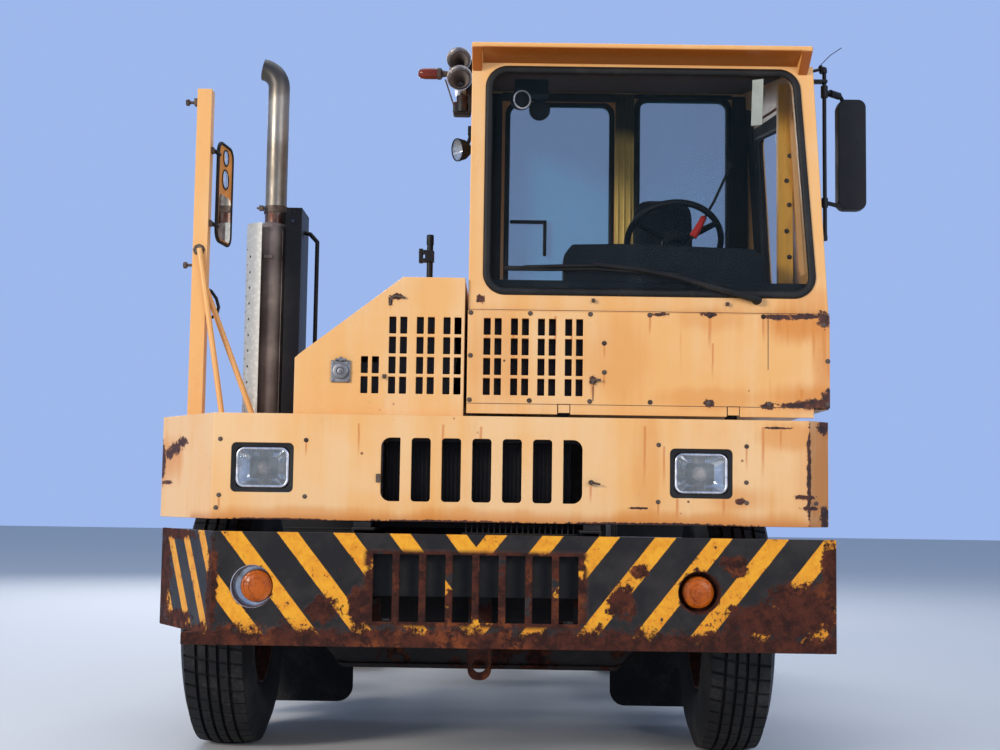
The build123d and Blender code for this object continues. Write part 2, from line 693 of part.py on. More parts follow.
def drive_shaft():
    """The shaft from the gearbox to the rear axle."""
    front = GEARBOX_REAR_Y
    rear = REAR_AXLE_Y - PINION_REACH
    shaft = rod_between(45, (0, front - 20, 640), (0, rear + 20, 556))
    return shaft & block(-60, 60, front + SEAT_PLAY, rear - SEAT_PLAY, 0, 900)


def front_axle():
    """A drop-centre beam with an eye for the kingpin at each end."""
    z = TYRE_RADIUS
    low = z - AXLE_DROP
    half = AXLE_BEAM_HEIGHT / 2
    outline = [
        (-KINGPIN_X, z - half), (-KINGPIN_X + AXLE_FLAT, z - half), (-AXLE_DROP_X, low - half),
        (AXLE_DROP_X, low - half), (KINGPIN_X - AXLE_FLAT, z - half), (KINGPIN_X, z - half),
        (KINGPIN_X, z + half), (KINGPIN_X - AXLE_FLAT, z + half), (AXLE_DROP_X, low + half),
        (-AXLE_DROP_X, low + half), (-KINGPIN_X + AXLE_FLAT, z + half), (-KINGPIN_X, z + half),
    ]
    beam = prism_y(outline, FRONT_AXLE_Y - AXLE_BEAM_WIDTH / 2, FRONT_AXLE_Y + AXLE_BEAM_WIDTH / 2)
    web = AXLE_BEAM_WIDTH / 2 - 10
    groove = [
        (-AXLE_DROP_X - 120, low - half + 60), (-AXLE_DROP_X, low - half + 18), (AXLE_DROP_X, low - half + 18),
        (AXLE_DROP_X + 120, low - half + 60), (AXLE_DROP_X + 120, low + half + 30), (AXLE_DROP_X, low + half - 18),
        (-AXLE_DROP_X, low + half - 18), (-AXLE_DROP_X - 120, low + half + 30),
    ]
    beam -= prism_y(groove, FRONT_AXLE_Y - AXLE_BEAM_WIDTH / 2 - 1, FRONT_AXLE_Y - web + 15)
    beam -= prism_y(groove, FRONT_AXLE_Y + web - 15, FRONT_AXLE_Y + AXLE_BEAM_WIDTH / 2 + 1)
    for side in (-1, 1):
        x = side * KINGPIN_X
        height = AXLE_EYE_HEIGHT / 2
        beam += rod_z(AXLE_EYE_RADIUS, x, FRONT_AXLE_Y, z - height, z + height)
        beam -= rod_z(AXLE_EYE_RADIUS + 40, x + side * 88, FRONT_AXLE_Y, z - height - 1, z + height + 1) - rod_z(
            AXLE_EYE_RADIUS, x, FRONT_AXLE_Y, z - height - 2, z + height + 2)
        beam -= rod_z(KINGPIN_RADIUS + SHAFT_PLAY, x, FRONT_AXLE_Y, z - height - 5, z + height + 5)
    return beam


SPRING_X = 394.0
SPRING_WIDTH = 70.0
SPRING_REACH = 560.0
SPRING_LEAF = 14.0
SPRING_SEAT_Z = TYRE_RADIUS - AXLE_DROP + AXLE_BEAM_HEIGHT / 2


def front_springs():
    """Leaf packs on the axle, hung from the rails by a hanger in front and a shackle behind."""
    made = []
    base = SPRING_SEAT_Z
    lift = RAIL_BOTTOM - 90 - base
    for side in (-1, 1):
        x0 = side * SPRING_X - SPRING_WIDTH / 2
        x1 = side * SPRING_X + SPRING_WIDTH / 2
        leaves = []
        for n, share in enumerate((0.35, 0.6, 0.82, 1.0)):
            reach = SPRING_REACH * share
            z = base + n * SPRING_LEAF
            rise = lift * share * share * 0.55
            leaves.append(prism_x(
                [
                    (FRONT_AXLE_Y - reach, z + rise), (FRONT_AXLE_Y - 60, z), (FRONT_AXLE_Y + 60, z),
                    (FRONT_AXLE_Y + reach, z + rise), (FRONT_AXLE_Y + reach, z + rise + SPRING_LEAF),
                    (FRONT_AXLE_Y + 60, z + SPRING_LEAF), (FRONT_AXLE_Y - 60, z + SPRING_LEAF),
                    (FRONT_AXLE_Y - reach, z + rise + SPRING_LEAF),
                ], x0, x1))
        clamp = block(x0 - 8, x1 + 8, FRONT_AXLE_Y - 50, FRONT_AXLE_Y + 50, base + 1, base + 5 * SPRING_LEAF)
        top = base + 3 * SPRING_LEAF + lift * 0.55
        hangers = [
            block(x0, x1, y - 30, y + 30, top, RAIL_BOTTOM)
            for y in (FRONT_AXLE_Y - SPRING_REACH + 30, FRONT_AXLE_Y + SPRING_REACH - 30)
        ]
        made.append(fused(leaves + [clamp] + hangers))
    return made


def knuckle(side):
    """A yoke round the axle's eye, with its kingpin, spindle and steering arm."""
    x = side * KINGPIN_X
    z = TYRE_RADIUS
    gap = AXLE_EYE_HEIGHT / 2 + SEAT_PLAY
    pin = rod_z(KINGPIN_RADIUS, x, FRONT_AXLE_Y, z - gap - 40, z + gap + 40)
    low = rod_z(AXLE_EYE_RADIUS, x, FRONT_AXLE_Y, z - gap - 40, z - gap)
    high = rod_z(AXLE_EYE_RADIUS, x, FRONT_AXLE_Y, z + gap, z + gap + 40)
    near = AXLE_EYE_RADIUS + 6
    x0, x1 = sorted((x + side * near, x + side * (near + 24)))
    back = block(x0, x1, FRONT_AXLE_Y - 50, FRONT_AXLE_Y + 50, z - gap - 40, z + gap + 40)
    links = []
    for z0, z1 in ((z - gap - 40, z - gap), (z + gap, z + gap + 40)):
        a, b = sorted((x, x + side * (near + 10)))
        links.append(block(a, b, FRONT_AXLE_Y - 40, FRONT_AXLE_Y + 40, z0, z1))
    hub_end = FRONT_TRACK / 2 + 62
    a, b = sorted((x + side * (near + 20), side * hub_end))
    spindle = rod_x(SPINDLE_RADIUS, a, b, FRONT_AXLE_Y, z)
    pin_y = FRONT_AXLE_Y + STEER_ARM
    arm = block(x - 20, x + 20, FRONT_AXLE_Y + 20, pin_y, z - gap - 40, z - gap - 10)
    boss = rod_z(28, x, pin_y, z - gap - 40, z - gap - 10)
    ball = rod_z(TIE_PIN_RADIUS, x, pin_y, STEER_ARM_Z - 36, z - gap - 30)
    return fused([pin, low, high, back] + links + [spindle, arm, boss, ball])


def tie_rod():
    """The rod between the two steering arms; its right eye is open where the linkage is cut."""
    y = FRONT_AXLE_Y + STEER_ARM
    z0 = STEER_ARM_Z - 28
    z1 = STEER_ARM_Z - 4
    middle = (z0 + z1) / 2
    rod = rod_x(11, -KINGPIN_X + 22, KINGPIN_X - 22, y, middle)
    left = rod_z(30, KINGPIN_X, y, z0, z1)
    right = rod_z(30, -KINGPIN_X, y, z0, z1)
    made = rod + left + right
    made -= rod_z(TIE_PIN_RADIUS + SHAFT_PLAY, KINGPIN_X, y, z0 - 1, z1 + 1)
    made -= rod_z(TIE_PIN_RADIUS + 1.0, -KINGPIN_X, y, z0 - 1, z1 + 1)
    return made


def tyre(x):
    """A road tyre, its rubber only, turned about the axle."""
    half = TYRE_WIDTH / 2
    tread = TYRE_TREAD_WIDTH / 2
    bead = RIM_WIDTH / 2
    profile = Polyline(
        (x - bead, TYRE_INNER_RADIUS), (x - half, TYRE_INNER_RADIUS + 75), (x - half, TYRE_RADIUS - 110),
        (x - tread, TYRE_RADIUS - 10), (x - tread * 0.6, TYRE_RADIUS), (x + tread * 0.6, TYRE_RADIUS),
        (x + tread, TYRE_RADIUS - 10), (x + half, TYRE_RADIUS - 110), (x + half, TYRE_INNER_RADIUS + 75),
        (x + bead, TYRE_INNER_RADIUS), close=True,
    )
    return revolve(make_face(profile), Axis.X)


def rim(x, disc_x, bore):
    """A steel rim with its dished disc, whose face lies at disc_x."""
    barrel = Rot(0, 90, 0) * (
        Cylinder(TYRE_INNER_RADIUS - SEAT_PLAY, RIM_WIDTH + 14)
        - Cylinder(TYRE_INNER_RADIUS - RIM_WALL, RIM_WIDTH + 20)
    )
    half = DISC_WALL / 2
    reach = TYRE_INNER_RADIUS - RIM_WALL + 1
    out = 1 if x > disc_x else -1
    if abs(x - disc_x) < RIM_WIDTH / 2:
        root = disc_x
    else:
        root = x - out * (RIM_WIDTH / 2 - 20)
    profile = Polyline(
        (disc_x - half, bore), (disc_x + half, bore), (disc_x + half, DISC_FLAT),
        (root + half, reach), (root - half, reach), (disc_x - half, DISC_FLAT), close=True,
    )
    disc = revolve(make_face(profile), Axis.X)
    for n in range(HAND_HOLES):
        angle = 2 * pi * n / HAND_HOLES
        middle = (disc_x + root) / 2
        hole = Pos(middle, HAND_HOLE_PITCH * cos(angle), HAND_HOLE_PITCH * sin(angle)) * Rot(0, 90, 0)
        disc -= hole * Cylinder(HAND_HOLE_RADIUS, 200)
    return Pos(x, 0, 0) * barrel + disc


def placed(piece, y):
    """Move a wheel, made about the X axis, to its axle."""
    return Pos(0, y, TYRE_RADIUS) * piece


def front_tyre(side):
    return placed(tyre(side * FRONT_TRACK / 2), FRONT_AXLE_Y)


def front_rim(side):
    """The front rim and its hub, which turns on the spindle."""
    x = side * FRONT_TRACK / 2
    disc_x = x + side * 60
    made = rim(x, disc_x, SPINDLE_RADIUS + SHAFT_PLAY)
    hub0, hub1 = sorted((x - side * 92, x + side * 100))
    hub = Pos((hub0 + hub1) / 2, 0, 0) * Rot(0, 90, 0) * Cylinder(82, hub1 - hub0)
    bore0, bore1 = sorted((x - side * 94, x + side * 62.5))
    hub -= Pos((bore0 + bore1) / 2, 0, 0) * Rot(0, 90, 0) * Cylinder(SPINDLE_RADIUS + SHAFT_PLAY, bore1 - bore0)
    return placed(made + hub, FRONT_AXLE_Y)


OUTER_DUAL_X = REAR_OUTER_WIDTH / 2 - TYRE_WIDTH / 2
INNER_DUAL_X = OUTER_DUAL_X - DUAL_SPACING


def rear_tyres(side):
    return [placed(tyre(side * x), REAR_AXLE_Y) for x in (OUTER_DUAL_X, INNER_DUAL_X)]


def rear_rims(side):
    """Two rims bolted back to back on one hub."""
    middle = side * (OUTER_DUAL_X + INNER_DUAL_X) / 2
    bore = REAR_SPINDLE_RADIUS + SHAFT_PLAY
    outer = rim(side * OUTER_DUAL_X, middle + side * DISC_WALL / 2, bore)
    inner = rim(side * INNER_DUAL_X, middle - side * DISC_WALL / 2, bore)
    hub0, hub1 = sorted((middle - side * 120, middle + side * 190))
    hub = Pos((hub0 + hub1) / 2, 0, 0) * Rot(0, 90, 0) * Cylinder(120, hub1 - hub0)
    bore0, bore1 = sorted((middle - side * 122, middle + side * 150.5))
    hub -= Pos((bore0 + bore1) / 2, 0, 0) * Rot(0, 90, 0) * Cylinder(bore, bore1 - bore0)
    return placed(outer + inner + hub, REAR_AXLE_Y)


def rear_axle():
    """A housing with a round bowl, and brackets that fix it under the rails."""
    z = TYRE_RADIUS
    spindle_end = (OUTER_DUAL_X + INNER_DUAL_X) / 2 + 150
    inner_face = (OUTER_DUAL_X + INNER_DUAL_X) / 2 - 120 - 10
    made = rod_x(REAR_SPINDLE_RADIUS, -spindle_end, spindle_end, REAR_AXLE_Y, z)
    made += block(-inner_face, inner_face, REAR_AXLE_Y - 75, REAR_AXLE_Y + 75, z - 65, z + 65)
    bowl = rod_y(190, 0, REAR_AXLE_Y - 160, REAR_AXLE_Y + 150, z)
    nose = rod_y(85, 0, REAR_AXLE_Y - PINION_REACH, REAR_AXLE_Y - 150, z + 20)
    made += bowl + nose
    for side in (-1, 1):
        x0, x1 = sorted((side * (RAIL_OUTER - RAIL_FLANGE), side * RAIL_OUTER))
        made += block(x0, x1, REAR_AXLE_Y - 130, REAR_AXLE_Y + 130, z + 30, RAIL_BOTTOM)
    return made


def mud_flaps():
    """Rubber flaps behind the front wheels, each on a bar from the rail."""
    made = []
    y = FRONT_AXLE_Y + TYRE_RADIUS + FLAP_GAP
    for side in (-1, 1):
        x0, x1 = sorted((side * FLAP_INNER_X, side * FLAP_OUTER_X))
        flap = block(x0, x1, y, y + FLAP_WALL, FLAP_LOW, FLAP_HIGH)
        flap = fillet(flap.edges().filter_by(Axis.Y).group_by(Axis.Z)[0], FLAP_CORNER)
        made.append(flap)
    return made


def mud_flap_bars():
    """The bars that carry the front mud flaps."""
    y = FRONT_AXLE_Y + TYRE_RADIUS + FLAP_GAP + FLAP_WALL
    return both_sides(block(RAIL_OUTER, FLAP_OUTER_X, y, y + 40, FLAP_HIGH - 60, FLAP_HIGH - 20))


def fuel_tank():
    """A round-ended tank on the left rail."""
    rear = REAR_AXLE_Y - TYRE_RADIUS - TANK_REAR_GAP
    made = block(RAIL_OUTER + TANK_OUT, TANK_REACH, TANK_FRONT_Y, rear, TANK_LOW, TANK_HIGH)
    made = fillet(made.edges().filter_by(Axis.Y), TANK_CORNER)
    strap = []
    for y in (TANK_FRONT_Y + TANK_STRAP_IN, rear - TANK_STRAP_IN - TANK_STRAP):
        strap.append(block(RAIL_OUTER, RAIL_OUTER + TANK_OUT + 2, y, y + TANK_STRAP,
                           TANK_LOW + TANK_CORNER / 2, TANK_HIGH - TANK_CORNER / 2))
    return fused([made] + strap)


def battery_box():
    """The box for batteries on the right rail."""
    return block(-TANK_REACH, -RAIL_OUTER, TANK_FRONT_Y, BATTERY_REAR_Y, BATTERY_LOW, BATTERY_HIGH)


def side_steps():
    """Two treads behind the left front wheel, on a frame from the rail."""
    inner = RAIL_OUTER + STEP_OUT
    treads = [
        block(inner, STEP_REACH, STEP_FRONT_Y, STEP_REAR_Y, z, z + STEP_PLATE) for z in STEP_Z
    ]
    upright = [block(inner, inner + STEP_PLATE, STEP_FRONT_Y, STEP_REAR_Y, STEP_Z[0], REAR_DECK_Z)]
    tie_z = STEP_Z[1] - 40
    tie = [block(RAIL_OUTER, inner + 5, STEP_FRONT_Y + 50, STEP_FRONT_Y + 110, tie_z, tie_z + 60)]
    return fused(treads + upright + tie)


def rear_deck():
    """The tread plate behind the cab, on four posts from the rails."""
    plate = block(-REAR_DECK_REACH, REAR_DECK_REACH, REAR_DECK_FRONT_Y, REAR_DECK_REAR_Y,
                  REAR_DECK_Z, REAR_DECK_Z + REAR_DECK_PLATE)
    posts = []
    for x in (-RAIL_OUTER, RAIL_OUTER - DECK_POST):
        for y in (REAR_DECK_FRONT_Y + DECK_POST_IN, REAR_DECK_REAR_Y - DECK_POST_IN - DECK_POST):
            posts.append(block(x, x + DECK_POST, y, y + DECK_POST, RAIL_TOP, REAR_DECK_Z))
    return fused([plate] + posts)


def air_tanks():
    """Two air reservoirs along the right rail, on one bracket."""
    first = -RAIL_OUTER - AIR_TANK_RADIUS - AIR_TANK_GAP
    second = first - 2 * AIR_TANK_RADIUS - AIR_TANK_BETWEEN
    tanks = [rod_y(AIR_TANK_RADIUS, x, AIR_TANK_FRONT_Y, AIR_TANK_REAR_Y, AIR_TANK_Z) for x in (first, second)]
    low = AIR_TANK_Z - AIR_TANK_RADIUS - 15
    bracket = block(second - 45, -RAIL_OUTER, AIR_TANK_FRONT_Y + 140, AIR_TANK_FRONT_Y + 180, low, low + 40)
    return fused(tanks + [bracket])


def tail_bar():
    """A bar across the rear end for the tail lamps."""
    reach = INNER_DUAL_X - TYRE_WIDTH / 2 - TAIL_GAP
    return block(-reach, reach, RAIL_REAR, RAIL_REAR + TAIL_PLATE, RAIL_BOTTOM + 5, RAIL_BOTTOM + 120)


def tail_lamps():
    """Round lamps on the tail bar."""
    made = []
    y = RAIL_REAR + TAIL_PLATE
    outer = INNER_DUAL_X - TYRE_WIDTH / 2 - TAIL_GAP - TAIL_LAMP_RADIUS - 8
    for x in (-outer, TAIL_LAMP_STEP - outer, outer - TAIL_LAMP_STEP, outer):
        made.append(rod_y(TAIL_LAMP_RADIUS, x, y, y + TAIL_LAMP_DEPTH, RAIL_BOTTOM + 62))
    return made


# Exhaust, mirrors and rails on the right

def exhaust():
    """An upright muffler with its stack and turned-out tip."""
    made = rod_z(MUFFLER_RADIUS, MUFFLER_X, MUFFLER_Y, DECK_TOP, MUFFLER_TOP)
    straight = rod_z(STACK_RADIUS, STACK_X, MUFFLER_Y, MUFFLER_TOP - 20, STACK_BEND_Z)
    elbow_plane = Plane(origin=(STACK_X, MUFFLER_Y, STACK_BEND_Z), x_dir=(1, 0, 0), z_dir=(0, 0, 1))
    ring = elbow_plane * Circle(STACK_RADIUS)
    axis = Axis((STACK_X - STACK_BEND_RADIUS, MUFFLER_Y, STACK_BEND_Z), (0, -1, 0))
    elbow = revolve(ring, axis, revolution_arc=STACK_BEND_ANGLE)
    made = made + straight + elbow
    bore_plane = Plane(origin=(STACK_X, MUFFLER_Y, STACK_BEND_Z - 1), x_dir=(1, 0, 0), z_dir=(0, 0, 1))
    bore = revolve(bore_plane * Circle(STACK_RADIUS - STACK_WALL),
                   Axis((STACK_X - STACK_BEND_RADIUS, MUFFLER_Y, STACK_BEND_Z - 1), (0, -1, 0)),
                   revolution_arc=STACK_BEND_ANGLE + 4)
    return made - bore


def exhaust_shield():
    """A half-round guard round the muffler."""
    made = rod_z(SHIELD_RADIUS, MUFFLER_X, MUFFLER_Y, DECK_TOP, MUFFLER_TOP - 10)
    made -= rod_z(SHIELD_RADIUS - SHIELD_WALL, MUFFLER_X, MUFFLER_Y, DECK_TOP - 1, MUFFLER_TOP)
    made -= block(SHIELD_CUT_X, MUFFLER_X + 200, MUFFLER_Y - 200, MUFFLER_Y + 200, DECK_TOP - 1, MUFFLER_TOP + 1)
    for column, angle in enumerate(SHIELD_HOLE_ANGLES):
        x = MUFFLER_X + (SHIELD_RADIUS + 10) * cos(radians(angle))
        y = MUFFLER_Y + (SHIELD_RADIUS + 10) * sin(radians(angle))
        inner_x = MUFFLER_X + (SHIELD_RADIUS - 12) * cos(radians(angle))
        inner_y = MUFFLER_Y + (SHIELD_RADIUS - 12) * sin(radians(angle))
        for row in range(SHIELD_HOLE_ROWS):
            z = DECK_TOP + 50 + (row + column % 2 / 2) * SHIELD_HOLE_PITCH
            made -= rod_between(SHIELD_HOLE_RADIUS, (x, y, z), (inner_x, inner_y, z))
    return made


def exhaust_guard():
    """The upright channel beside the muffler."""
    made = block(-836, -770, 1010, 1230, DECK_TOP, 2205)
    made -= block(-828, -778, 1018, 1231, DECK_TOP - 1, 2197)
    for z in (2150, 2185):
        made -= rod_y(7, -808, 1000, 1030, z)
    return made


def grab_rail():
    """A bent handrail beside the channel."""
    made = rod_z(9, -716, 1110, DECK_TOP, 2080)
    made += rod_between(9, (-716, 1110, 2077), (-748, 1110, 2112))
    made += rod_between(9, (-744, 1110, 2110), (-771, 1110, 2116))
    return made


def mirror_post():
    """The square post for the right mirror, with two braces to the deck."""
    half = POST_SIZE / 2
    post = block(POST_X - half, POST_X + half, POST_Y - half, POST_Y + half, DECK_TOP, POST_TOP)
    post -= block(POST_X - half + 4, POST_X + half - 4, POST_Y - half + 4, POST_Y + half - 4, DECK_TOP - 1, POST_TOP + 1)
    brace = rod_between(11, (POST_X, POST_Y - half - 8, 1955), (-993, POST_Y - half - 8, DECK_TOP - 10))
    brace2 = rod_between(11, (POST_X + half - 4, POST_Y, 1800), (-880, POST_Y + 40, DECK_TOP - 10))
    below = block(POST_X - 200, POST_X + 400, POST_Y - 100, POST_Y + 400, DECK_TOP - 60, DECK_TOP)
    return fused([post, brace, brace2]) - below


def right_mirror():
    """The right mirror's head, seen almost edge on."""
    head = rounded_prism_x([(-97, -205), (97, -205), (97, 205), (-97, 205)], 45, -16, 16)
    head = Pos(-1049, POST_Y + 140, 2203) * Rot(0, 0, -8.5) * head
    arms = []
    for z in (2060.0, 2350.0):
        arms.append(rod_x(9, POST_X + POST_SIZE / 2, -1059, POST_Y, z))
        arms.append(rod_y(9, -1062, POST_Y - 9, POST_Y + 80, z))
    return fused([head] + arms)


def hood_mast():
    """A short mast with a clamp, on the hood."""
    return rod_z(12, -204, 500, HOOD_TOP_Z, 2004) + block(-222, -188, 480, 520, 1900, 1940)


# Cab

def cab_solid(inset, y0, y1, z0, above):
    """The cab's outer form drawn in by an inset, from y0 to y1 and z0 up to the roof plus above."""
    high = 3100.0
    outline = [
        (CAB_RIGHT_X + inset, z0),
        (CAB_LEFT_X - inset, z0),
        (CAB_LEFT_X - inset, CAB_LEAN_Z),
        (cab_left_x(high) - inset, high),
        (CAB_RIGHT_X + inset, high),
    ]
    made = prism_y(outline, y0, y1)
    over = prism_x(
        [(y0 - 1, roof_z(y0 - 1) + above), (y1 + 1, roof_z(y1 + 1) + above), (y1 + 1, 3400), (y0 - 1, 3400)],
        CAB_RIGHT_X - 100, CAB_LEFT_X + 100,
    )
    return made - over


def rear_door_opening():
    return block(REAR_DOOR_RIGHT_X + 20, REAR_DOOR_LEFT_X - 20, CAB_REAR_Y - 100, CAB_REAR_Y + 100,
                 REAR_DOOR_LOW + 20, REAR_DOOR_HIGH - 40)


def side_door_opening(grow):
    outline = [
        (SIDE_DOOR_FRONT_Y - grow, SIDE_DOOR_LOW - grow),
        (SIDE_DOOR_REAR_Y + grow, SIDE_DOOR_LOW - grow),
        (SIDE_DOOR_REAR_Y + grow, SIDE_DOOR_HIGH + 100 + grow),
        (SIDE_DOOR_FRONT_Y - grow, SIDE_DOOR_HIGH + grow),
    ]
    return prism_x(outline, CAB_LEAN_TOP_X - 120, CAB_LEFT_X + 60)


def right_outline(inset):
    """The corners of the right-hand window, drawn in by an inset."""
    y0, y1, low, front_high, rear_high = RIGHT_GLASS
    return [
        (y0 + inset, low + inset), (y1 - inset, low + inset),
        (y1 - inset, rear_high - inset), (y0 + inset, front_high - inset),
    ]


def quarter_outline(inset):
    """The corners of the small window before the side door, drawn in by an inset."""
    return [
        (QUARTER_GLASS_FRONT_Y + inset, DOOR_GLASS_LOW + inset),
        (QUARTER_GLASS_REAR_Y - inset, DOOR_GLASS_LOW + inset),
        (QUARTER_GLASS_REAR_Y - inset, SIDE_DOOR_HIGH - 60 - inset),
        (QUARTER_GLASS_FRONT_Y + inset, SIDE_DOOR_HIGH - 100 - inset),
    ]


def cab_shell():
    """Walls and floor, open at the top where the roof sits, with doors and windows cut."""
    made = cab_solid(0, CAB_FACE_Y, CAB_REAR_Y, CAB_FLOOR_Z, 0)
    made -= cab_solid(CAB_WALL, CAB_FACE_Y + CAB_WALL, CAB_REAR_Y - CAB_WALL, CAB_FLOOR_Z + CAB_FLOOR_WALL, 5)
    made -= rounded_prism_y(screen_outline(0), SCREEN_CORNER, CAB_FACE_Y - 1, CAB_FACE_Y + CAB_WALL + 1)
    rear = block(REAR_GLASS_RIGHT_X, REAR_GLASS_LEFT_X, CAB_REAR_Y - CAB_WALL - 1, CAB_REAR_Y + 1,
                 REAR_GLASS_LOW, REAR_GLASS_HIGH)
    made -= fillet(rear.edges().filter_by(Axis.Y), PANE_CORNER)
    made -= rear_door_opening()
    made -= side_door_opening(DOOR_GAP)
    made -= rounded_prism_x(quarter_outline(0), PANE_CORNER, CAB_LEAN_TOP_X - 80, CAB_LEFT_X + 10)
    made -= rounded_prism_x(right_outline(0), PANE_CORNER, CAB_RIGHT_X - 1, CAB_RIGHT_X + CAB_WALL + 1)
    intake_end = PANEL_SLOT_X[-1] + LOUVRE_PAIR + LOUVRE_WIDTH + 8
    intake_top = LOUVRE_LOW + (LOUVRE_ROWS - 1) * LOUVRE_ROW_PITCH + LOUVRE_HEIGHT + 8
    made -= block(PANEL_SLOT_X[0] - 8, intake_end, CAB_FACE_Y - 1, CAB_FACE_Y + INTAKE_DEPTH,
                  CAB_FLOOR_Z + CAB_FLOOR_WALL, intake_top)
    for x in TILT_X:
        made -= tilt_pocket(x)
        made += rod_x(TILT_PIN_RADIUS, x - 30, x + 30, TILT_Y, TILT_Z)
    for z in HINGE_Z:
        made += door_hinge_fixed(z)
    return fused([made] + rear_door_rails())


def cab_roof():
    """The roof with its visor over the windscreen."""
    front = CAB_FACE_Y - VISOR_REACH
    outline = [
        (CAB_FACE_Y, roof_z(CAB_FACE_Y)),
        (CAB_REAR_Y + 20, roof_z(CAB_REAR_Y + 20)),
        (CAB_REAR_Y + 20, roof_z(CAB_REAR_Y + 20) + ROOF_THICKNESS),
        (front, ROOF_FRONT_Z + VISOR_RISE + VISOR_LIP),
        (front, ROOF_FRONT_Z + VISOR_RISE),
    ]
    left = cab_left_x(ROOF_FRONT_Z) - 19
    made = prism_x(outline, CAB_RIGHT_X, left)
    end = [
        (CAB_FACE_Y, ROOF_FRONT_Z - VISOR_END_DROP),
        (front, ROOF_FRONT_Z + VISOR_RISE),
        (CAB_FACE_Y, ROOF_FRONT_Z + VISOR_RISE),
    ]
    made += prism_x(end, CAB_RIGHT_X, CAB_RIGHT_X + VISOR_END)
    made += prism_x(end, left - VISOR_END, left)
    return made


def cab_panel():
    """The panel below the windscreen, with slots beside the hood's."""
    made = block(CAB_RIGHT_X, CAB_LEFT_X, PANEL_FACE_Y, CAB_FACE_Y, PANEL_BOTTOM, PANEL_TOP)
    for cell in louvre_cells(PANEL_SLOT_X, 0, LOUVRE_ROWS, PANEL_FACE_Y - 1, CAB_FACE_Y + 1):
        made -= cell
    sill = block(CAB_RIGHT_X, SILL_LEFT_X, PANEL_FACE_Y, PANEL_FACE_Y + SILL_WALL, SILL_BOTTOM, PANEL_BOTTOM + 1)
    for x in TILT_X:
        half = TILT_EYE_WIDTH / 2 + TILT_PLAY
        sill -= block(x - half, x + half, PANEL_FACE_Y - 1, CAB_FACE_Y, SILL_BOTTOM - 1, PANEL_BOTTOM)
    return made + sill


def cab_glass():
    """Windscreen, rear, quarter and right-hand panes."""
    gap = SEAT_PLAY
    y = CAB_FACE_Y + 8
    screen = rounded_prism_y(screen_outline(gap), SCREEN_CORNER, y, y + GLASS_WALL)
    rear_y = CAB_REAR_Y - 14
    rear = block(REAR_GLASS_RIGHT_X + gap, REAR_GLASS_LEFT_X - gap, rear_y, rear_y + GLASS_WALL,
                 REAR_GLASS_LOW + gap, REAR_GLASS_HIGH - gap)
    rear = fillet(rear.edges().filter_by(Axis.Y), PANE_CORNER)
    x = CAB_RIGHT_X + 12
    right_pane = rounded_prism_x(right_outline(gap), PANE_CORNER, x, x + GLASS_WALL)
    x = CAB_LEAN_TOP_X - 30
    quarter = rounded_prism_x(quarter_outline(gap * 2), PANE_CORNER, x, x + GLASS_WALL)
    lean = degrees(atan2(CAB_LEFT_X - CAB_LEAN_TOP_X, CAB_LEAN_TOP_Z - CAB_LEAN_Z))
    middle_z = (DOOR_GLASS_LOW + SIDE_DOOR_HIGH - 80) / 2
    shift = cab_left_x(middle_z) - 20 - x
    quarter = Pos(x + shift, 0, middle_z) * Rot(0, -lean, 0) * Pos(-x, 0, -middle_z) * quarter
    return [screen, rear, right_pane, quarter]


def door_hinge_fixed(z):
    """The cab's half of a side door hinge: a lug, a barrel and the pin."""
    x = CAB_LEFT_X + DOOR_PIN_OUT
    y = SIDE_DOOR_FRONT_Y - DOOR_GAP
    lug = block(CAB_LEFT_X - 2, x, y - 30, y, z, z + 30)
    barrel = rod_z(DOOR_PIN_RADIUS + 6, x, y, z, z + 30)
    pin = rod_z(DOOR_PIN_RADIUS, x, y, z, z + 60)
    return fused([lug, barrel, pin])


def door_hinge_moving(z):
    """The door's half: a strap and a barrel with its bore."""
    x = CAB_LEFT_X + DOOR_PIN_OUT
    y = SIDE_DOOR_FRONT_Y - DOOR_GAP
    strap = block(CAB_LEFT_X - 6, x, y + 10, y + 60, z + 30 + SEAT_PLAY, z + 60)
    link = block(x - 8, x + 8, y, y + 60, z + 30 + SEAT_PLAY, z + 60)
    barrel = rod_z(DOOR_PIN_RADIUS + 6, x, y, z + 30 + SEAT_PLAY, z + 60)
    bore = rod_z(DOOR_PIN_RADIUS + SHAFT_PLAY, x, y, z, z + 70)
    return strap + link + barrel - bore


def side_door_window(inset):
    """The side door's window as a prism across the wall, drawn in by an inset."""
    front = SIDE_DOOR_FRONT_Y + DOOR_GLASS_MARGIN + inset
    rear = SIDE_DOOR_REAR_Y - DOOR_GLASS_MARGIN - inset
    outline = [
        (front, DOOR_GLASS_LOW + inset),
        (rear, DOOR_GLASS_LOW + inset),
        (rear, SIDE_DOOR_HIGH + 100 - DOOR_GLASS_MARGIN - inset),
        (front, SIDE_DOOR_HIGH - DOOR_GLASS_MARGIN + 10 - inset),
    ]
    return rounded_prism_x(outline, PANE_CORNER, CAB_LEAN_TOP_X - 120, CAB_LEFT_X + 20)


def side_door_glass():
    """The side door's pane, which leans with the wall."""
    y0 = SIDE_DOOR_FRONT_Y
    y1 = SIDE_DOOR_REAR_Y
    depth = DOOR_WALL / 2
    outer = cab_solid(4 + depth, y0, y1, SIDE_DOOR_LOW, 0)
    inner = cab_solid(4 + depth + GLASS_WALL, y0 - 1, y1 + 1, SIDE_DOOR_LOW - 1, 5)
    return (outer - inner) & side_door_window(SEAT_PLAY)


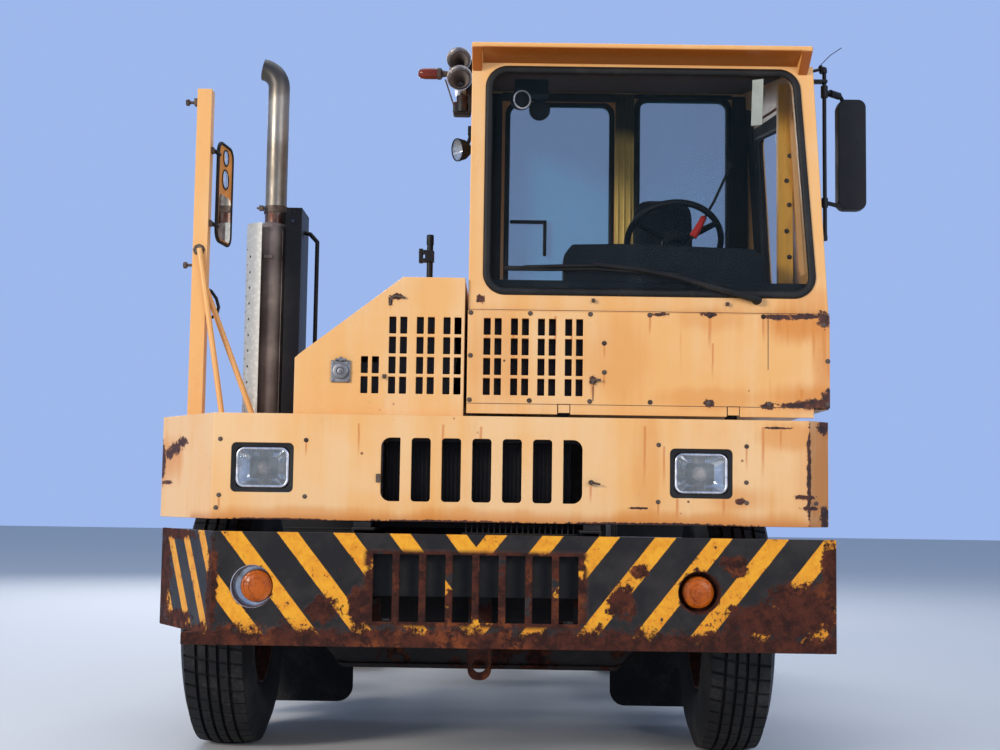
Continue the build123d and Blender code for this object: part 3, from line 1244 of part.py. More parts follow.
def side_door():
    """The left door: a leaning leaf with its window cut, hung on its front edge."""
    outer = cab_solid(4, SIDE_DOOR_FRONT_Y, SIDE_DOOR_REAR_Y, SIDE_DOOR_LOW, 0)
    inner = cab_solid(4 + DOOR_WALL, SIDE_DOOR_FRONT_Y - 1, SIDE_DOOR_REAR_Y + 1, SIDE_DOOR_LOW - 1, 5)
    keep = side_door_opening(0)
    leaf = (outer - inner) & keep
    leaf -= side_door_window(0)
    x = CAB_LEFT_X - 6
    y = SIDE_DOOR_REAR_Y - 60
    for z in DOOR_HANDLE_Z:
        leaf += block(x, x + 36, y - 20, y + 20, z, z + 24)
    leaf += block(x + 24, x + 36, y - 16, y + 16, DOOR_HANDLE_Z[0], DOOR_HANDLE_Z[1] + 24)
    for z in HINGE_Z:
        leaf += door_hinge_moving(z)
    return leaf


def rear_door_window(inset, y0, y1):
    """The rear door's window, or its pane when drawn in by an inset."""
    x0, x1, z0, z1 = REAR_DOOR_WINDOW
    made = block(x0 + inset, x1 - inset, y0, y1, z0 + inset, z1 - inset)
    return fillet(made.edges().filter_by(Axis.Y), PANE_CORNER)


def rear_door_glass():
    """The rear door's pane."""
    y = CAB_REAR_Y + 10 + REAR_DOOR_WALL / 2
    return rear_door_window(SEAT_PLAY, y, y + GLASS_WALL)


def rear_door():
    """The sliding rear door, hung behind the rear wall."""
    y0 = CAB_REAR_Y + 10
    y1 = y0 + REAR_DOOR_WALL
    leaf = block(REAR_DOOR_RIGHT_X, REAR_DOOR_LEFT_X, y0, y1, REAR_DOOR_LOW, REAR_DOOR_HIGH - 10)
    leaf -= rear_door_window(0, y0 - 1, y1 + 1)
    for x in (REAR_DOOR_RIGHT_X + 40, REAR_DOOR_LEFT_X - 100):
        leaf += block(x, x + 60, y0, y1, REAR_DOOR_HIGH - 11, REAR_DOOR_HIGH - 4 - SEAT_PLAY)
        leaf += block(x, x + 60, y0, y1, REAR_DOOR_LOW - 6 + SEAT_PLAY, REAR_DOOR_LOW + 1)
    return leaf


def rear_door_rails():
    """The two tracks that the rear door slides on."""
    made = []
    for z in (REAR_DOOR_LOW - 22, REAR_DOOR_HIGH - 4):
        made.append(block(CAB_RIGHT_X + 10, 1180, CAB_REAR_Y, CAB_REAR_Y + 40, z, z + 16))
    return made


def driver_seat():
    """The driver's seat: cushion, back and base as one closed form."""
    cushion = block(530, 1000, 880, 1300, 1640, 1780)
    back = block(620, 910, 1210, 1320, 1760, 2330)
    base = block(600, 920, 940, 1260, CAB_FLOOR_Z + CAB_FLOOR_WALL, 1640)
    return fused([cushion, back, base])


def dashboard():
    """Dash shelf under the windscreen with the steering column."""
    shelf = block(CAB_RIGHT_X + CAB_WALL + 5, 1190, CAB_FACE_Y + CAB_WALL, 420, 1620, 1790)
    hood_outline = [(300, 1785), (1040, 1785), (1040, 1900), (1000, 1932), (520, 1945), (330, 1940), (300, 1900)]
    shelf += prism_y(hood_outline, 290, 430)
    column = rod_between(28, (750, 400, 1740), (750, 655, 1990))
    tip = rod_between(12, (750, 640, 1975.3), (750, 694, 2028.2))
    return shelf + column + tip


STEER_WHEEL_CENTRE = (750.0, 690.0, 2024.3)
STEER_WHEEL_AXIS = (0.0, 255.0, 250.0)


def steering_wheel():
    """Rim, three spokes and hub, square to the column."""
    plane = Plane(origin=STEER_WHEEL_CENTRE, x_dir=(1, 0, 0), z_dir=STEER_WHEEL_AXIS)
    made = plane * Torus(185, 13)
    made += plane * Pos(0, 0, -10) * Cylinder(45, 40)
    for angle in (90, 210, 330):
        made += plane * Rot(0, 0, angle) * Pos(100, 0, 0) * Box(170, 30, 12)
    made -= plane * Cylinder(12 + SHAFT_PLAY, 100)
    return made


def wiper():
    """The wiper's arm and blade on the windscreen."""
    y = CAB_FACE_Y - 12
    arm = rod_between(7, (980, y, 1723), (520, y - 4, 1809))
    blade = rod_between(8, (83, y + 2, 1823), (709, y + 2, 1804))
    pivot = rod_y(14, 980, y - 8, CAB_FACE_Y, 1723)
    return fused([arm, blade, pivot])


HORN_PLATE_X = -127.0
HORN_PLACES = ((-97.0, 250.0, ROOF_FRONT_Z + 41.0), (-92.0, 205.0, ROOF_FRONT_Z - 42.0))


def horns():
    """Two trumpets and their bracket on the cab's upper right edge."""
    made = []
    for x, y, z in HORN_PLACES:
        bell = Pos(x, y + 90, z) * Rot(90, 0, 0) * Cone(14, 46, 180)
        made.append(bell + rod_y(24, x, y + 175, y + 215, z))
    plate = block(HORN_PLATE_X, CAB_RIGHT_X, 330, 380, ROOF_FRONT_Z - 147, ROOF_FRONT_Z + 63)
    return fused(made + [plate])


def marker_lamp():
    """The marker and work lamps beside the horns."""
    z = ROOF_FRONT_Z + 14
    lens = rod_x(22, -254, -174, 350, z)
    stem = rod_x(12, -176, HORN_PLATE_X, 350, z)
    return [lens + stem]


WORK_LAMP_REAR = (-70.0, 325.0, 2296.0)
WORK_LAMP_FRONT = (-100.0, 307.0, 2290.0)


def work_lamp():
    """The round work lamp on the cab's right edge, turned towards the front."""
    made = rod_between(42, WORK_LAMP_REAR, WORK_LAMP_FRONT)
    return made + rod_x(10, WORK_LAMP_REAR[0] - 10, CAB_RIGHT_X, WORK_LAMP_REAR[1], WORK_LAMP_REAR[2])


def left_mirror():
    """The tube, arms and head of the left mirror."""
    tube = rod_z(9, 1262, 260, 1962, 2603)
    top = prism_y([(cab_left_x(2550), 2550), (1266, 2550), (1266, 2570), (cab_left_x(2570), 2570)], 250, 270)
    arm1 = rod_between(10, (1262, 260, 2485), (1345, 330, 2485))
    arm2 = rod_between(10, (1262, 260, 2080), (1345, 330, 2080))
    foot = prism_y([(cab_left_x(1962), 1962), (1266, 1962), (1266, 1982), (cab_left_x(1982), 1982)], 250, 270)
    head = Pos(1370, 352, 2298) * Box(106, 70, 418)
    head = fillet(head.edges().filter_by(Axis.Y), 30)
    return fused([tube, top, arm1, arm2, foot, head])


# Boom and coupling

def boom():
    """The lifting boom: two deep side plates joined by cross tubes, on the pivot tube."""
    inner = BOOM_HALF_WIDTH - BOOM_PLATE
    outline = [
        (BOOM_PIVOT_Y - 20, BOOM_PIVOT_Z + 78), (BOOM_PIVOT_Y - 20, BOOM_PIVOT_Z - 78),
        (BOOM_PIVOT_Y + 200, BOOM_PIVOT_Z - 60), (COUPLING_Y + 70, 800), (COUPLING_Y + 70, COUPLING_PIN_Z + 30),
        (COUPLING_Y - 70, COUPLING_PIN_Z + 30), (COUPLING_Y - 260, 880), (BOOM_PIVOT_Y + 200, BOOM_PIVOT_Z + 78),
    ]
    side = prism_x(outline, inner, BOOM_HALF_WIDTH)
    side += rod_x(78, inner, BOOM_HALF_WIDTH, BOOM_PIVOT_Y, BOOM_PIVOT_Z)
    side -= rod_x(BOOM_PIVOT_RADIUS + SHAFT_PLAY, inner - 1, BOOM_HALF_WIDTH + 1, BOOM_PIVOT_Y, BOOM_PIVOT_Z)
    pieces = both_sides(side)
    pieces.append(rod_x(COUPLING_PIN_RADIUS, -BOOM_HALF_WIDTH, BOOM_HALF_WIDTH, COUPLING_Y, COUPLING_PIN_Z))
    for y in (BOOM_PIVOT_Y + BOOM_TUBE_STEP, LIFT_TUBE_Y, COUPLING_Y - BOOM_TUBE_BACK):
        pieces.append(rod_x(34, -inner, inner, y, LIFT_HIGH_Z))
    for side_x in (-1, 1):
        for out in (-48, 32):
            x = side_x * LIFT_X + out
            pieces.append(block(x, x + 16, LIFT_HIGH_Y - 38, LIFT_TUBE_Y + 20, LIFT_HIGH_Z - 34, LIFT_HIGH_Z + 34))
        pieces.append(rod_x(LIFT_PIN_RADIUS, side_x * LIFT_X - 48, side_x * LIFT_X + 48, LIFT_HIGH_Y, LIFT_HIGH_Z))
    return fused(pieces)


def fifth_wheel():
    """The coupling plate with its slot and jaw, on two lugs over the trunnion bar."""
    y0 = COUPLING_Y - COUPLING_FRONT
    y1 = COUPLING_Y + COUPLING_REAR
    low = COUPLING_TOP - COUPLING_PLATE
    plate = block(-COUPLING_HALF_WIDTH, COUPLING_HALF_WIDTH, y0, y1, low, COUPLING_TOP)
    corners = plate.edges().filter_by(Axis.Z)
    plate = chamfer(corners.group_by(Axis.Y)[0], 150)
    mouth = prism_z(
        [(-KINGPIN_JAW_RADIUS, COUPLING_Y), (KINGPIN_JAW_RADIUS, COUPLING_Y), (KINGPIN_JAW_RADIUS, COUPLING_Y + 120),
         (190, y1 + 1), (-190, y1 + 1), (-KINGPIN_JAW_RADIUS, COUPLING_Y + 120)],
        low - 1, COUPLING_TOP + 1,
    )
    plate -= mouth
    plate -= rod_z(KINGPIN_JAW_RADIUS, 0, COUPLING_Y, low - 1, COUPLING_TOP + 1)
    lug = block(240, 290, COUPLING_Y - 60, COUPLING_Y + 60, COUPLING_PIN_Z - 45, low)
    lug -= rod_x(COUPLING_PIN_RADIUS + SHAFT_PLAY, 230, 300, COUPLING_Y, COUPLING_PIN_Z)
    return fused([plate] + both_sides(lug))


LIFT_DY = LIFT_HIGH_Y - LIFT_LOW_Y
LIFT_DZ = LIFT_HIGH_Z - LIFT_LOW_Z
LIFT_LENGTH = hypot(LIFT_DY, LIFT_DZ)
LIFT_BARREL_END = LIFT_LENGTH - 60.0


def lift_plane(side):
    """A plane on the cylinder's lower pin, with its Z along the cylinder."""
    return Plane(
        origin=(side * LIFT_X, LIFT_LOW_Y, LIFT_LOW_Z), x_dir=(1, 0, 0), z_dir=(0, LIFT_DY, LIFT_DZ)
    )


def lift_barrel(side):
    """A lift cylinder's barrel, with its eye on the lower pin."""
    length = LIFT_BARREL_END - LIFT_BARREL_START
    body = Pos(0, 0, LIFT_BARREL_START + length / 2) * Cylinder(LIFT_BARREL_RADIUS, length)
    body -= Pos(0, 0, LIFT_BARREL_START + 20 + length / 2) * Cylinder(LIFT_BORE_RADIUS, length)
    eye = Rot(0, 90, 0) * Cylinder(34, 56)
    neck = Pos(0, 0, LIFT_BARREL_START / 2 + 5) * Box(56, 50, LIFT_BARREL_START - 10)
    eye = eye + neck - Rot(0, 90, 0) * Cylinder(LIFT_PIN_RADIUS + SHAFT_PLAY, 80)
    return lift_plane(side) * (body + eye)


def lift_rod(side):
    """A lift cylinder's rod, with its eye open round the boom's pin."""
    start = LIFT_BARREL_START + 25.0
    end = LIFT_LENGTH - 28
    body = Pos(0, 0, (start + end) / 2) * Cylinder(LIFT_ROD_RADIUS, end - start)
    piston = Pos(0, 0, start + 20) * Cylinder(LIFT_BORE_RADIUS - 0.5, 40)
    eye = Pos(0, 0, LIFT_LENGTH) * Rot(0, 90, 0) * Cylinder(34, 56)
    hole = Pos(0, 0, LIFT_LENGTH) * Rot(0, 90, 0) * Cylinder(LIFT_PIN_RADIUS + LIFT_EYE_PLAY, 80)
    return lift_plane(side) * (body + piston + eye - hole)


def build():
    """Every node by name, in the tractor's own datum."""
    nodes = {
        "frame_rails": frame_rails(),
        "front_bumper": front_bumper(),
        "frame_brackets": bumper_mounts() + mud_flap_bars() + [tail_bar(), lift_bracket()],
        "bumper_lamps": bumper_lamps(),
        "tow_lug": tow_lug(),
        "front_cowl": front_cowl(),
        "cab_mounts": cab_mounts(),
        "headlights": headlights(),
        "side_deck": deck(),
        "hood": hood(),
        "radiator": radiator(),
        "engine_block": engine_block(),
        "drive_shaft": drive_shaft(),
        "front_axle": front_axle(),
        "front_springs": front_springs(),
        "rear_axle": rear_axle(),
        "tie_rod": tie_rod(),
        "mud_flaps": mud_flaps(),
        "fuel_tank": fuel_tank(),
        "battery_box": battery_box(),
        "rear_deck": rear_deck() + side_steps(),
        "air_tanks": air_tanks(),
        "tail_lamps": tail_lamps(),
        "exhaust": exhaust(),
        "exhaust_shield": exhaust_shield(),
        "exhaust_guard": exhaust_guard() + grab_rail(),
        "mirror_post": mirror_post(),
        "right_mirror": right_mirror(),
        "hood_mast": hood_mast(),
        "cab_shell": cab_shell(),
        "cab_roof": cab_roof(),
        "cab_panel": cab_panel(),
        "cab_glass": cab_glass(),
        "side_door": side_door(),
        "side_door_glass": side_door_glass(),
        "rear_door": rear_door(),
        "rear_door_glass": rear_door_glass(),
        "driver_seat": driver_seat(),
        "dashboard": dashboard(),
        "steering_wheel": steering_wheel(),
        "wiper": wiper(),
        "horns": horns(),
        "cab_lamps": marker_lamp() + [work_lamp()],
        "left_mirror": left_mirror(),
        "boom": boom(),
        "fifth_wheel": fifth_wheel(),
    }
    for name, side in (("left", 1), ("right", -1)):
        nodes[f"knuckle_{name}"] = knuckle(side)
        nodes[f"front_tyre_{name}"] = front_tyre(side)
        nodes[f"front_rim_{name}"] = front_rim(side)
        nodes[f"rear_tyres_{name}"] = rear_tyres(side)
        nodes[f"rear_rims_{name}"] = rear_rims(side)
        nodes[f"lift_barrel_{name}"] = lift_barrel(side)
        nodes[f"lift_rod_{name}"] = lift_rod(side)
    return nodes


def solids_of(shape):
    """The solids of a shape or of a list of shapes."""
    shapes = shape if isinstance(shape, list) else [shape]
    return [solid for piece in shapes for solid in piece.solids()]


NODES = {name: Compound(children=solids_of(shape)) for name, shape in build().items()}


def overall_bounds():
    """The lowest and highest corners of all the nodes."""
    boxes = [node.bounding_box() for node in NODES.values()]
    low = [min(getattr(box.min, axis) for box in boxes) for axis in "XYZ"]
    high = [max(getattr(box.max, axis) for box in boxes) for axis in "XYZ"]
    return low, high


LOW, HIGH = overall_bounds()
SHIFT = (-(LOW[0] + HIGH[0]) / 2, -(LOW[1] + HIGH[1]) / 2, -LOW[2])

os.makedirs("parts", exist_ok=True)
for name, node in NODES.items():
    export_step(Pos(*SHIFT) * node, f"parts/{name}.step")
print("bounds", [round(v, 1) for v in LOW], [round(v, 1) for v in HIGH])
print("shift", [round(v, 2) for v in SHIFT])
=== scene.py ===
import json
from math import cos, exp, pi, radians, sin, tan

import bmesh
import bpy
from mathutils import Matrix, Vector

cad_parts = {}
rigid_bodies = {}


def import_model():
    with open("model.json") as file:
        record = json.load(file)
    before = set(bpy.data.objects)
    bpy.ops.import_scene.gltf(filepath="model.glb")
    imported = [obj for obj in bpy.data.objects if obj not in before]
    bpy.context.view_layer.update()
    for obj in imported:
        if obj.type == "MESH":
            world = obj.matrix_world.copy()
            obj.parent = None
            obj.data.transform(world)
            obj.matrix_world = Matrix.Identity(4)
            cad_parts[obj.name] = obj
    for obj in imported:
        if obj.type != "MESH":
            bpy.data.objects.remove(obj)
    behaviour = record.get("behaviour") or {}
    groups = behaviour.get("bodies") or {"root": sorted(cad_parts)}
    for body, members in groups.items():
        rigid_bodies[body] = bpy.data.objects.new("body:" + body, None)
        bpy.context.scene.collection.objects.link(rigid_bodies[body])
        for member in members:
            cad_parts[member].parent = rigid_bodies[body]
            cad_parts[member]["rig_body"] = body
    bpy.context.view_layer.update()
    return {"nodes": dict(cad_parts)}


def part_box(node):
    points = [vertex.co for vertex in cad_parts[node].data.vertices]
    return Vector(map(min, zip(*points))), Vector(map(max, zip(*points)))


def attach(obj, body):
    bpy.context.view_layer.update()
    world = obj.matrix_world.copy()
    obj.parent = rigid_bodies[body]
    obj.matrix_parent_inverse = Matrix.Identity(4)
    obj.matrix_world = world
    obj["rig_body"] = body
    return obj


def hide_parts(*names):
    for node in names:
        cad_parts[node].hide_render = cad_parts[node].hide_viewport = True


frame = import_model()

FRONT_AXLE_Y, REAR_AXLE_Y = 1060.0, 4006.0
FRONT, BACK, LEFT, RIGHT, UP = (0, -1, 0), (0, 1, 0), (1, 0, 0), (-1, 0, 0), (0, 0, 1)

# Places are given in millimetres from the tractor's own datum (midplane, bumper face, ground), as in the
# CAD model, and moved into the frame by the front axle's place.
AXLE_LOW, AXLE_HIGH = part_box("front_axle")
AXLE_MIDDLE = (AXLE_LOW + AXLE_HIGH) / 2
SHIFT = Vector((AXLE_MIDDLE.x, AXLE_MIDDLE.y - FRONT_AXLE_Y / 1000, 0.0))
SCENE = bpy.context.scene


def at(x, y, z):
    """A point in millimetres from the datum, as a frame point in metres."""
    return Vector((x / 1000, y / 1000, z / 1000)) + SHIFT


# Materials

class Shader:
    """One node material, with short calls for the patterns that the pieces share."""

    def __init__(self, name, rough=0.5, metal=0.0, **sockets):
        self.material = bpy.data.materials.new(name)
        self.material.use_nodes = True
        self.tree = self.material.node_tree
        self.tree.nodes.clear()
        out = self.node("OutputMaterial")
        self.bsdf = self.node("BsdfPrincipled")
        self.tree.links.new(self.bsdf.outputs[0], out.inputs[0])
        self.coords = self.node("TexCoord").outputs["Object"]
        for key, value in {"Roughness": rough, "Metallic": metal, **sockets}.items():
            self.bsdf.inputs[key.replace("_", " ")].default_value = value

    def put(self, socket, value):
        """Give a socket a link or a value."""
        if isinstance(value, bpy.types.NodeSocket):
            self.tree.links.new(value, socket)
        elif isinstance(value, (tuple, list, Vector)) and len(value) == 3 and socket.type == "RGBA":
            socket.default_value = (*value, 1.0)
        else:
            socket.default_value = value

    def node(self, kind, *values, **settings):
        """A new node with its settings, and links or values for its first sockets."""
        node = self.tree.nodes.new("ShaderNode" + kind)
        for key, value in settings.items():
            setattr(node, key, value)
        for socket, value in zip(node.inputs, values):
            self.put(socket, value)
        return node

    def math(self, kind, a, b=0.0, *more):
        return self.node("Math", a, b, *more, operation=kind).outputs[0]

    def times(self, a, b):
        """A product, or where two masks overlap."""
        return self.math("MULTIPLY", a, b)

    def plus(self, a, b):
        return self.math("ADD", a, b)

    def minus(self, a, b):
        return self.math("SUBTRACT", a, b)

    def scaled(self, value, factor, more):
        """The value times the factor, and more added."""
        return self.math("MULTIPLY_ADD", value, factor, more)

    def wave(self, value, pace):
        return self.math("SINE", self.times(value, pace))

    def either(self, *masks):
        made = masks[0]
        for mask in masks[1:]:
            made = self.math("MAXIMUM", made, mask)
        return made

    def vector(self, kind, a, b=(0, 0, 0)):
        node = self.node("VectorMath", a, b, operation=kind)
        return node.outputs["Value" if kind == "LENGTH" else "Vector"]

    def axes(self, coords=None):
        return self.node("SeparateXYZ", self.coords if coords is None else coords).outputs

    def datum(self):
        """Places in metres from the tractor's own datum."""
        return self.axes(self.vector("SUBTRACT", self.coords, SHIFT))

    def facing_up(self):
        return self.axes(self.node("NewGeometry").outputs["Normal"])[2]

    def moved(self, stretch, shifts):
        """The coordinates, stretched and shifted."""
        stretched = self.vector("MULTIPLY", self.coords, stretch)
        return self.vector("ADD", stretched, shifts) if any(shifts) else stretched

    def noise(self, scale, detail=3.0, rough=0.55, stretch=(1, 1, 1), shift=0.0):
        node = self.node("TexNoise", self.moved(stretch, (shift, shift * 0.7, shift * 1.3)))
        for key, value in (("Scale", scale), ("Detail", detail), ("Roughness", rough)):
            node.inputs[key].default_value = value
        return node.outputs["Fac"]

    def cells(self, scale, shift=0.0):
        node = self.node("TexVoronoi", self.moved((1, 1, 1), (shift, shift, shift)))
        node.inputs["Scale"].default_value = scale
        return node.outputs["Distance"]

    def step(self, value, low, high, out_low=0.0, out_high=1.0):
        """Runs smoothly from out_low to out_high as the value goes from low to high."""
        node = self.node("MapRange", value, low, high, out_low, out_high, interpolation_type="SMOOTHSTEP")
        return node.outputs[0]

    def mix(self, share, a, b):
        node = self.node("Mix", share, data_type="RGBA")
        self.put(node.inputs[6], a)
        self.put(node.inputs[7], b)
        return node.outputs[2]

    def away(self, centre, size):
        """Distance from a place, as a share of a size along each axis, both in millimetres."""
        offset = self.vector("SUBTRACT", self.coords, at(*centre))
        return self.vector("LENGTH", self.vector("MULTIPLY", offset, [1000 / s for s in size]))

    def patch(self, centre, size, wobble, edge=0.25):
        """A ragged round patch."""
        return self.step(self.scaled(wobble, 2.4, self.away(centre, size)), 2.2, 2.2 - edge)

    def blot(self, centre, size, wobble):
        """A soft round stain."""
        return self.step(self.scaled(self.minus(wobble, 0.5), 1.6, self.away(centre, size)), 1.15, 0.35)

    def bump(self, height, strength=0.3, distance=0.002):
        node = self.node("Bump")
        for key, value in (("Strength", strength), ("Distance", distance), ("Height", height)):
            self.put(node.inputs[key], value)
        self.put(self.bsdf.inputs["Normal"], node.outputs[0])

    def color(self, value):
        self.put(self.bsdf.inputs["Base Color"], value)

    def rough(self, value):
        self.put(self.bsdf.inputs["Roughness"], value)


RUST_DARK = (0.020, 0.0058, 0.0038)
RUST = (0.068, 0.0165, 0.0085)
RUST_ORANGE = (0.165, 0.042, 0.012)
PAINT = (0.73, 0.375, 0.115)
PAINT_PALE = (0.74, 0.465, 0.225)
PAINT_DEEP = (0.60, 0.24, 0.035)
# darker, deeper orange for downward faces: painted shade
PAINT_SHADE_UNDER = (0.36, 0.085, 0.004)
RUN = (0.60, 0.20, 0.02)
DRIP = (0.50, 0.13, 0.012)
SILL_FADE = (0.46, 0.14, 0.012)
STAIN = (0.58, 0.19, 0.010)
HALO = (0.58, 0.19, 0.03)
GRIME = (0.35, 0.20, 0.09)
ROAD_DUST = (0.17, 0.14, 0.11)


def rust_color(s, scale=30.0):
    fine = s.noise(scale, 5, 0.7, shift=3.1)
    broad = s.noise(scale * 0.25, 3, 0.6, shift=8.4)
    first = s.mix(s.step(fine, 0.35, 0.65), RUST_DARK, RUST)
    return s.mix(s.times(s.step(broad, 0.5, 0.72), s.step(fine, 0.45, 0.6)), first, RUST_ORANGE)


def enamel(name, patches=(), pale=0.5, streaks=0.5, chips=0.5, deep=0.0, under=0.5, drips=(), fade_low=None,
           stains=()):
    """Sun-faded yellow enamel with painted shade on downward faces, and rust runs, chips, given patches and
    drips.
    """
    s = Shader(name, rough=0.42, Coat_Weight=0.12, Coat_Roughness=0.25)
    broad = s.noise(1.6, 4, 0.6)
    column = s.noise(6.0, 4, 0.65, stretch=(1.0, 1.0, 0.05), shift=2.0)
    thin = s.noise(38.0, 4, 0.7, stretch=(1.0, 1.0, 0.03), shift=5.0)
    fine = s.noise(60.0, 5, 0.7, shift=1.0)
    base = s.mix(s.step(s.scaled(column, 0.5, s.times(broad, 0.6)),
                        0.62 - pale * 0.3, 0.86 - pale * 0.3), PAINT, PAINT_PALE)
    if deep:
        base = s.mix(deep, base, PAINT_DEEP)
    # downward faces take a darker, deeper orange: painted shade
    base = s.mix(s.times(s.step(s.facing_up(), -0.3, -0.8), under), base, PAINT_SHADE_UNDER)
    run = s.times(s.step(thin, 0.60, 0.72), s.step(s.noise(2.3, 2, 0.5, shift=9.0), 0.50, 0.66))
    base = s.mix(s.times(run, streaks), base, RUN)
    if drips:
        x, y, z = s.datum()
        sway = s.times(s.minus(s.noise(9.0, 3, 0.6, shift=17.0), 0.5), 0.010)
        front = s.step(y, 0.26, 0.22)
        for place, top, long, wide in drips:
            near = s.math("ABSOLUTE", s.minus(s.plus(x, sway), place / 1000))
            run = s.times(s.step(near, wide / 1000, wide / 3000),
                s.step(z, (top - long) / 1000, (top - long * 0.3) / 1000))
            run = s.times(s.times(run, s.step(z, (top + 4) / 1000, top / 1000)), front)
            base = s.mix(s.times(run, 0.62), base, DRIP)
        if fade_low:
            low = s.times(s.step(s.scaled(column, 0.02, z), fade_low + 0.036, fade_low), front)
            base = s.mix(s.times(low, 0.75), base, SILL_FADE)
    for centre, size, share in stains:
        soft = s.blot(centre, size, column)
        base = s.mix(s.times(soft, share), base, STAIN)
    grime = s.times(s.step(s.noise(11.0, 4, 0.65, stretch=(1, 1, 0.25), shift=14.0), 0.52, 0.78),
                    s.step(fine, 0.35, 0.7))
    base = s.mix(s.times(grime, 0.22), base, GRIME)
    spots = s.times(s.step(s.cells(16.0, shift=4.0), 0.10, 0.055),
        s.step(s.noise(5.0, 2, 0.5, shift=6.0), 0.55, 0.64))
    spots = s.times(spots, chips)
    wobble = s.noise(52.0, 5, 0.75, shift=11.0)
    rust = spots
    for centre, size in patches:
        rust = s.either(rust, s.patch(centre, size, wobble))
    if patches:
        halo = rust
        for (x, y, z), (wide, deep, tall) in patches:
            grown = (wide * 1.25, deep * 1.2, tall * 1.5)
            lower = (x, y, z - tall * 0.35)
            halo = s.either(halo, s.times(s.patch(lower, grown, wobble, edge=0.9), 0.55))
        base = s.mix(s.times(halo, 0.75), base, HALO)
    base = s.mix(rust, base, rust_color(s, 45.0))
    s.color(base)
    s.rough(s.step(s.plus(s.times(rust, 0.6), s.times(fine, 0.5)), 0.0, 1.0, 0.34, 0.85))
    ripple = s.plus(s.times(s.noise(7.0, 2, 0.5), 0.6), s.times(fine, 0.08))
    s.bump(s.minus(ripple, s.times(rust, 0.35)), 0.22, 0.004)
    return s.material


def sunlit_post(name, color, top, above):
    """Bright inner paint that turns dark brown above a height, as painted shade."""
    s = Shader(name, rough=0.5)
    z = s.datum()[2]
    fine = s.noise(30.0, 4, 0.65, stretch=(1, 1, 0.15))
    wavy = s.scaled(s.noise(5.0, 3, 0.6, shift=2.0), 0.10, z)
    base = s.mix(s.step(fine, 0.4, 0.7), color, tuple(c * 0.7 for c in color))
    s.color(s.mix(s.step(wavy, top, top + 0.10), base, tuple(c * above * 0.6 for c in color)))
    s.bump(fine, 0.1, 0.001)
    return s.material


BUMPER_MIDDLE = 0.0005
STRIPE_PITCH = 0.193
STRIPE_START = 0.0315
STRIPE_WIDTH = 0.072
STRIPE_LEAN = 0.79
BUMPER_FOLD = 0.905
BUMPER_TOP = 0.876


def striped():
    """Hazard stripes on black that meet in the middle, worn and rusted."""
    s = Shader("bumper_paint", rough=0.5, Specular_IOR_Level=0.25)
    x, _, z = s.datum()
    wobble = s.noise(24.0, 5, 0.75, shift=2.0)
    fine = s.noise(70.0, 5, 0.75, shift=7.0)
    away = s.math("ABSOLUTE", s.minus(x, BUMPER_MIDDLE))
    round_corner = s.either(s.minus(s.times(x, -1.0), BUMPER_FOLD), 0.0)
    along = s.scaled(round_corner, 1.17, away)
    down = s.minus(BUMPER_TOP, z)
    place = s.scaled(down, STRIPE_LEAN, along)
    place = s.scaled(s.minus(wobble, 0.5), 0.006, place)
    turn = s.math("FRACT", s.math("DIVIDE", s.minus(place, STRIPE_START), STRIPE_PITCH))
    share = STRIPE_WIDTH / STRIPE_PITCH
    stripe = s.times(s.step(turn, 0.0, 0.02), s.step(turn, share + 0.02, share))
    black = s.mix(s.step(s.noise(9.0, 4, 0.6, shift=3.0), 0.35, 0.75), (0.009, 0.008, 0.0078),
        (0.024, 0.020, 0.018))
    yellow = s.mix(s.step(wobble, 0.35, 0.7), (0.74, 0.34, 0.02), (0.62, 0.22, 0.012))
    gone = s.step(s.plus(s.times(wobble, 0.7), s.times(fine, 0.35)), 0.605, 0.650)
    painted = s.mix(s.times(stripe, s.minus(1.0, gone)), black, yellow)
    base_rust = s.step(s.scaled(s.minus(wobble, 0.5), 0.20, z), 0.572, 0.540)
    masks = [base_rust]
    for centre, size in (
        ((-766, 0, 690), (70, 200, 66)), ((766, 0, 690), (82, 200, 82)),
        ((1000, 0, 596), (190, 200, 66)), ((1130, 0, 630), (150, 200, 112)), ((880, 0, 780), (55, 200, 40)),
        ((-905, 0, 690), (26, 120, 200)), ((-1180, 440, 700), (70, 160, 200)),
        ((-1130, 300, 860), (190, 300, 26)),
        ((500, 0, 660), (55, 200, 70)), ((-520, 0, 610), (60, 200, 60)), ((-395, 0, 620), (40, 200, 90)),
        ((1215, 0, 760), (36, 200, 150)), ((560, 0, 760), (40, 200, 30)),
        ((-1100, 240, 560), (120, 300, 30)), ((1060, 0, 690), (70, 200, 40)),
    ):
        masks.append(s.patch(centre, size, wobble))
    bars = s.times(s.step(s.math("ABSOLUTE", x), 0.392, 0.372),
        s.step(s.math("ABSOLUTE", s.minus(z, 0.69)), 0.14, 0.12))
    masks.append(s.times(bars, s.step(s.noise(16.0, 3, 0.6, shift=19.0), 0.66, 0.56)))
    chips = s.times(s.step(fine, 0.63, 0.68), s.step(s.noise(6.0, 3, 0.6, shift=6.0), 0.5, 0.6))
    masks.append(chips)
    rust = s.either(*masks)
    s.color(s.mix(rust, painted, rust_color(s, 26.0)))
    s.rough(s.step(rust, 0.0, 1.0, 0.42, 0.9))
    dents = s.noise(5.0, 3, 0.5, shift=21.0)
    coarse = s.times(s.times(rust, s.noise(50.0, 5, 0.75, shift=2.2)), 0.55)
    s.bump(s.plus(s.plus(s.times(dents, 1.2), coarse), s.times(stripe, 0.05)), 0.5, 0.006)
    return s.material


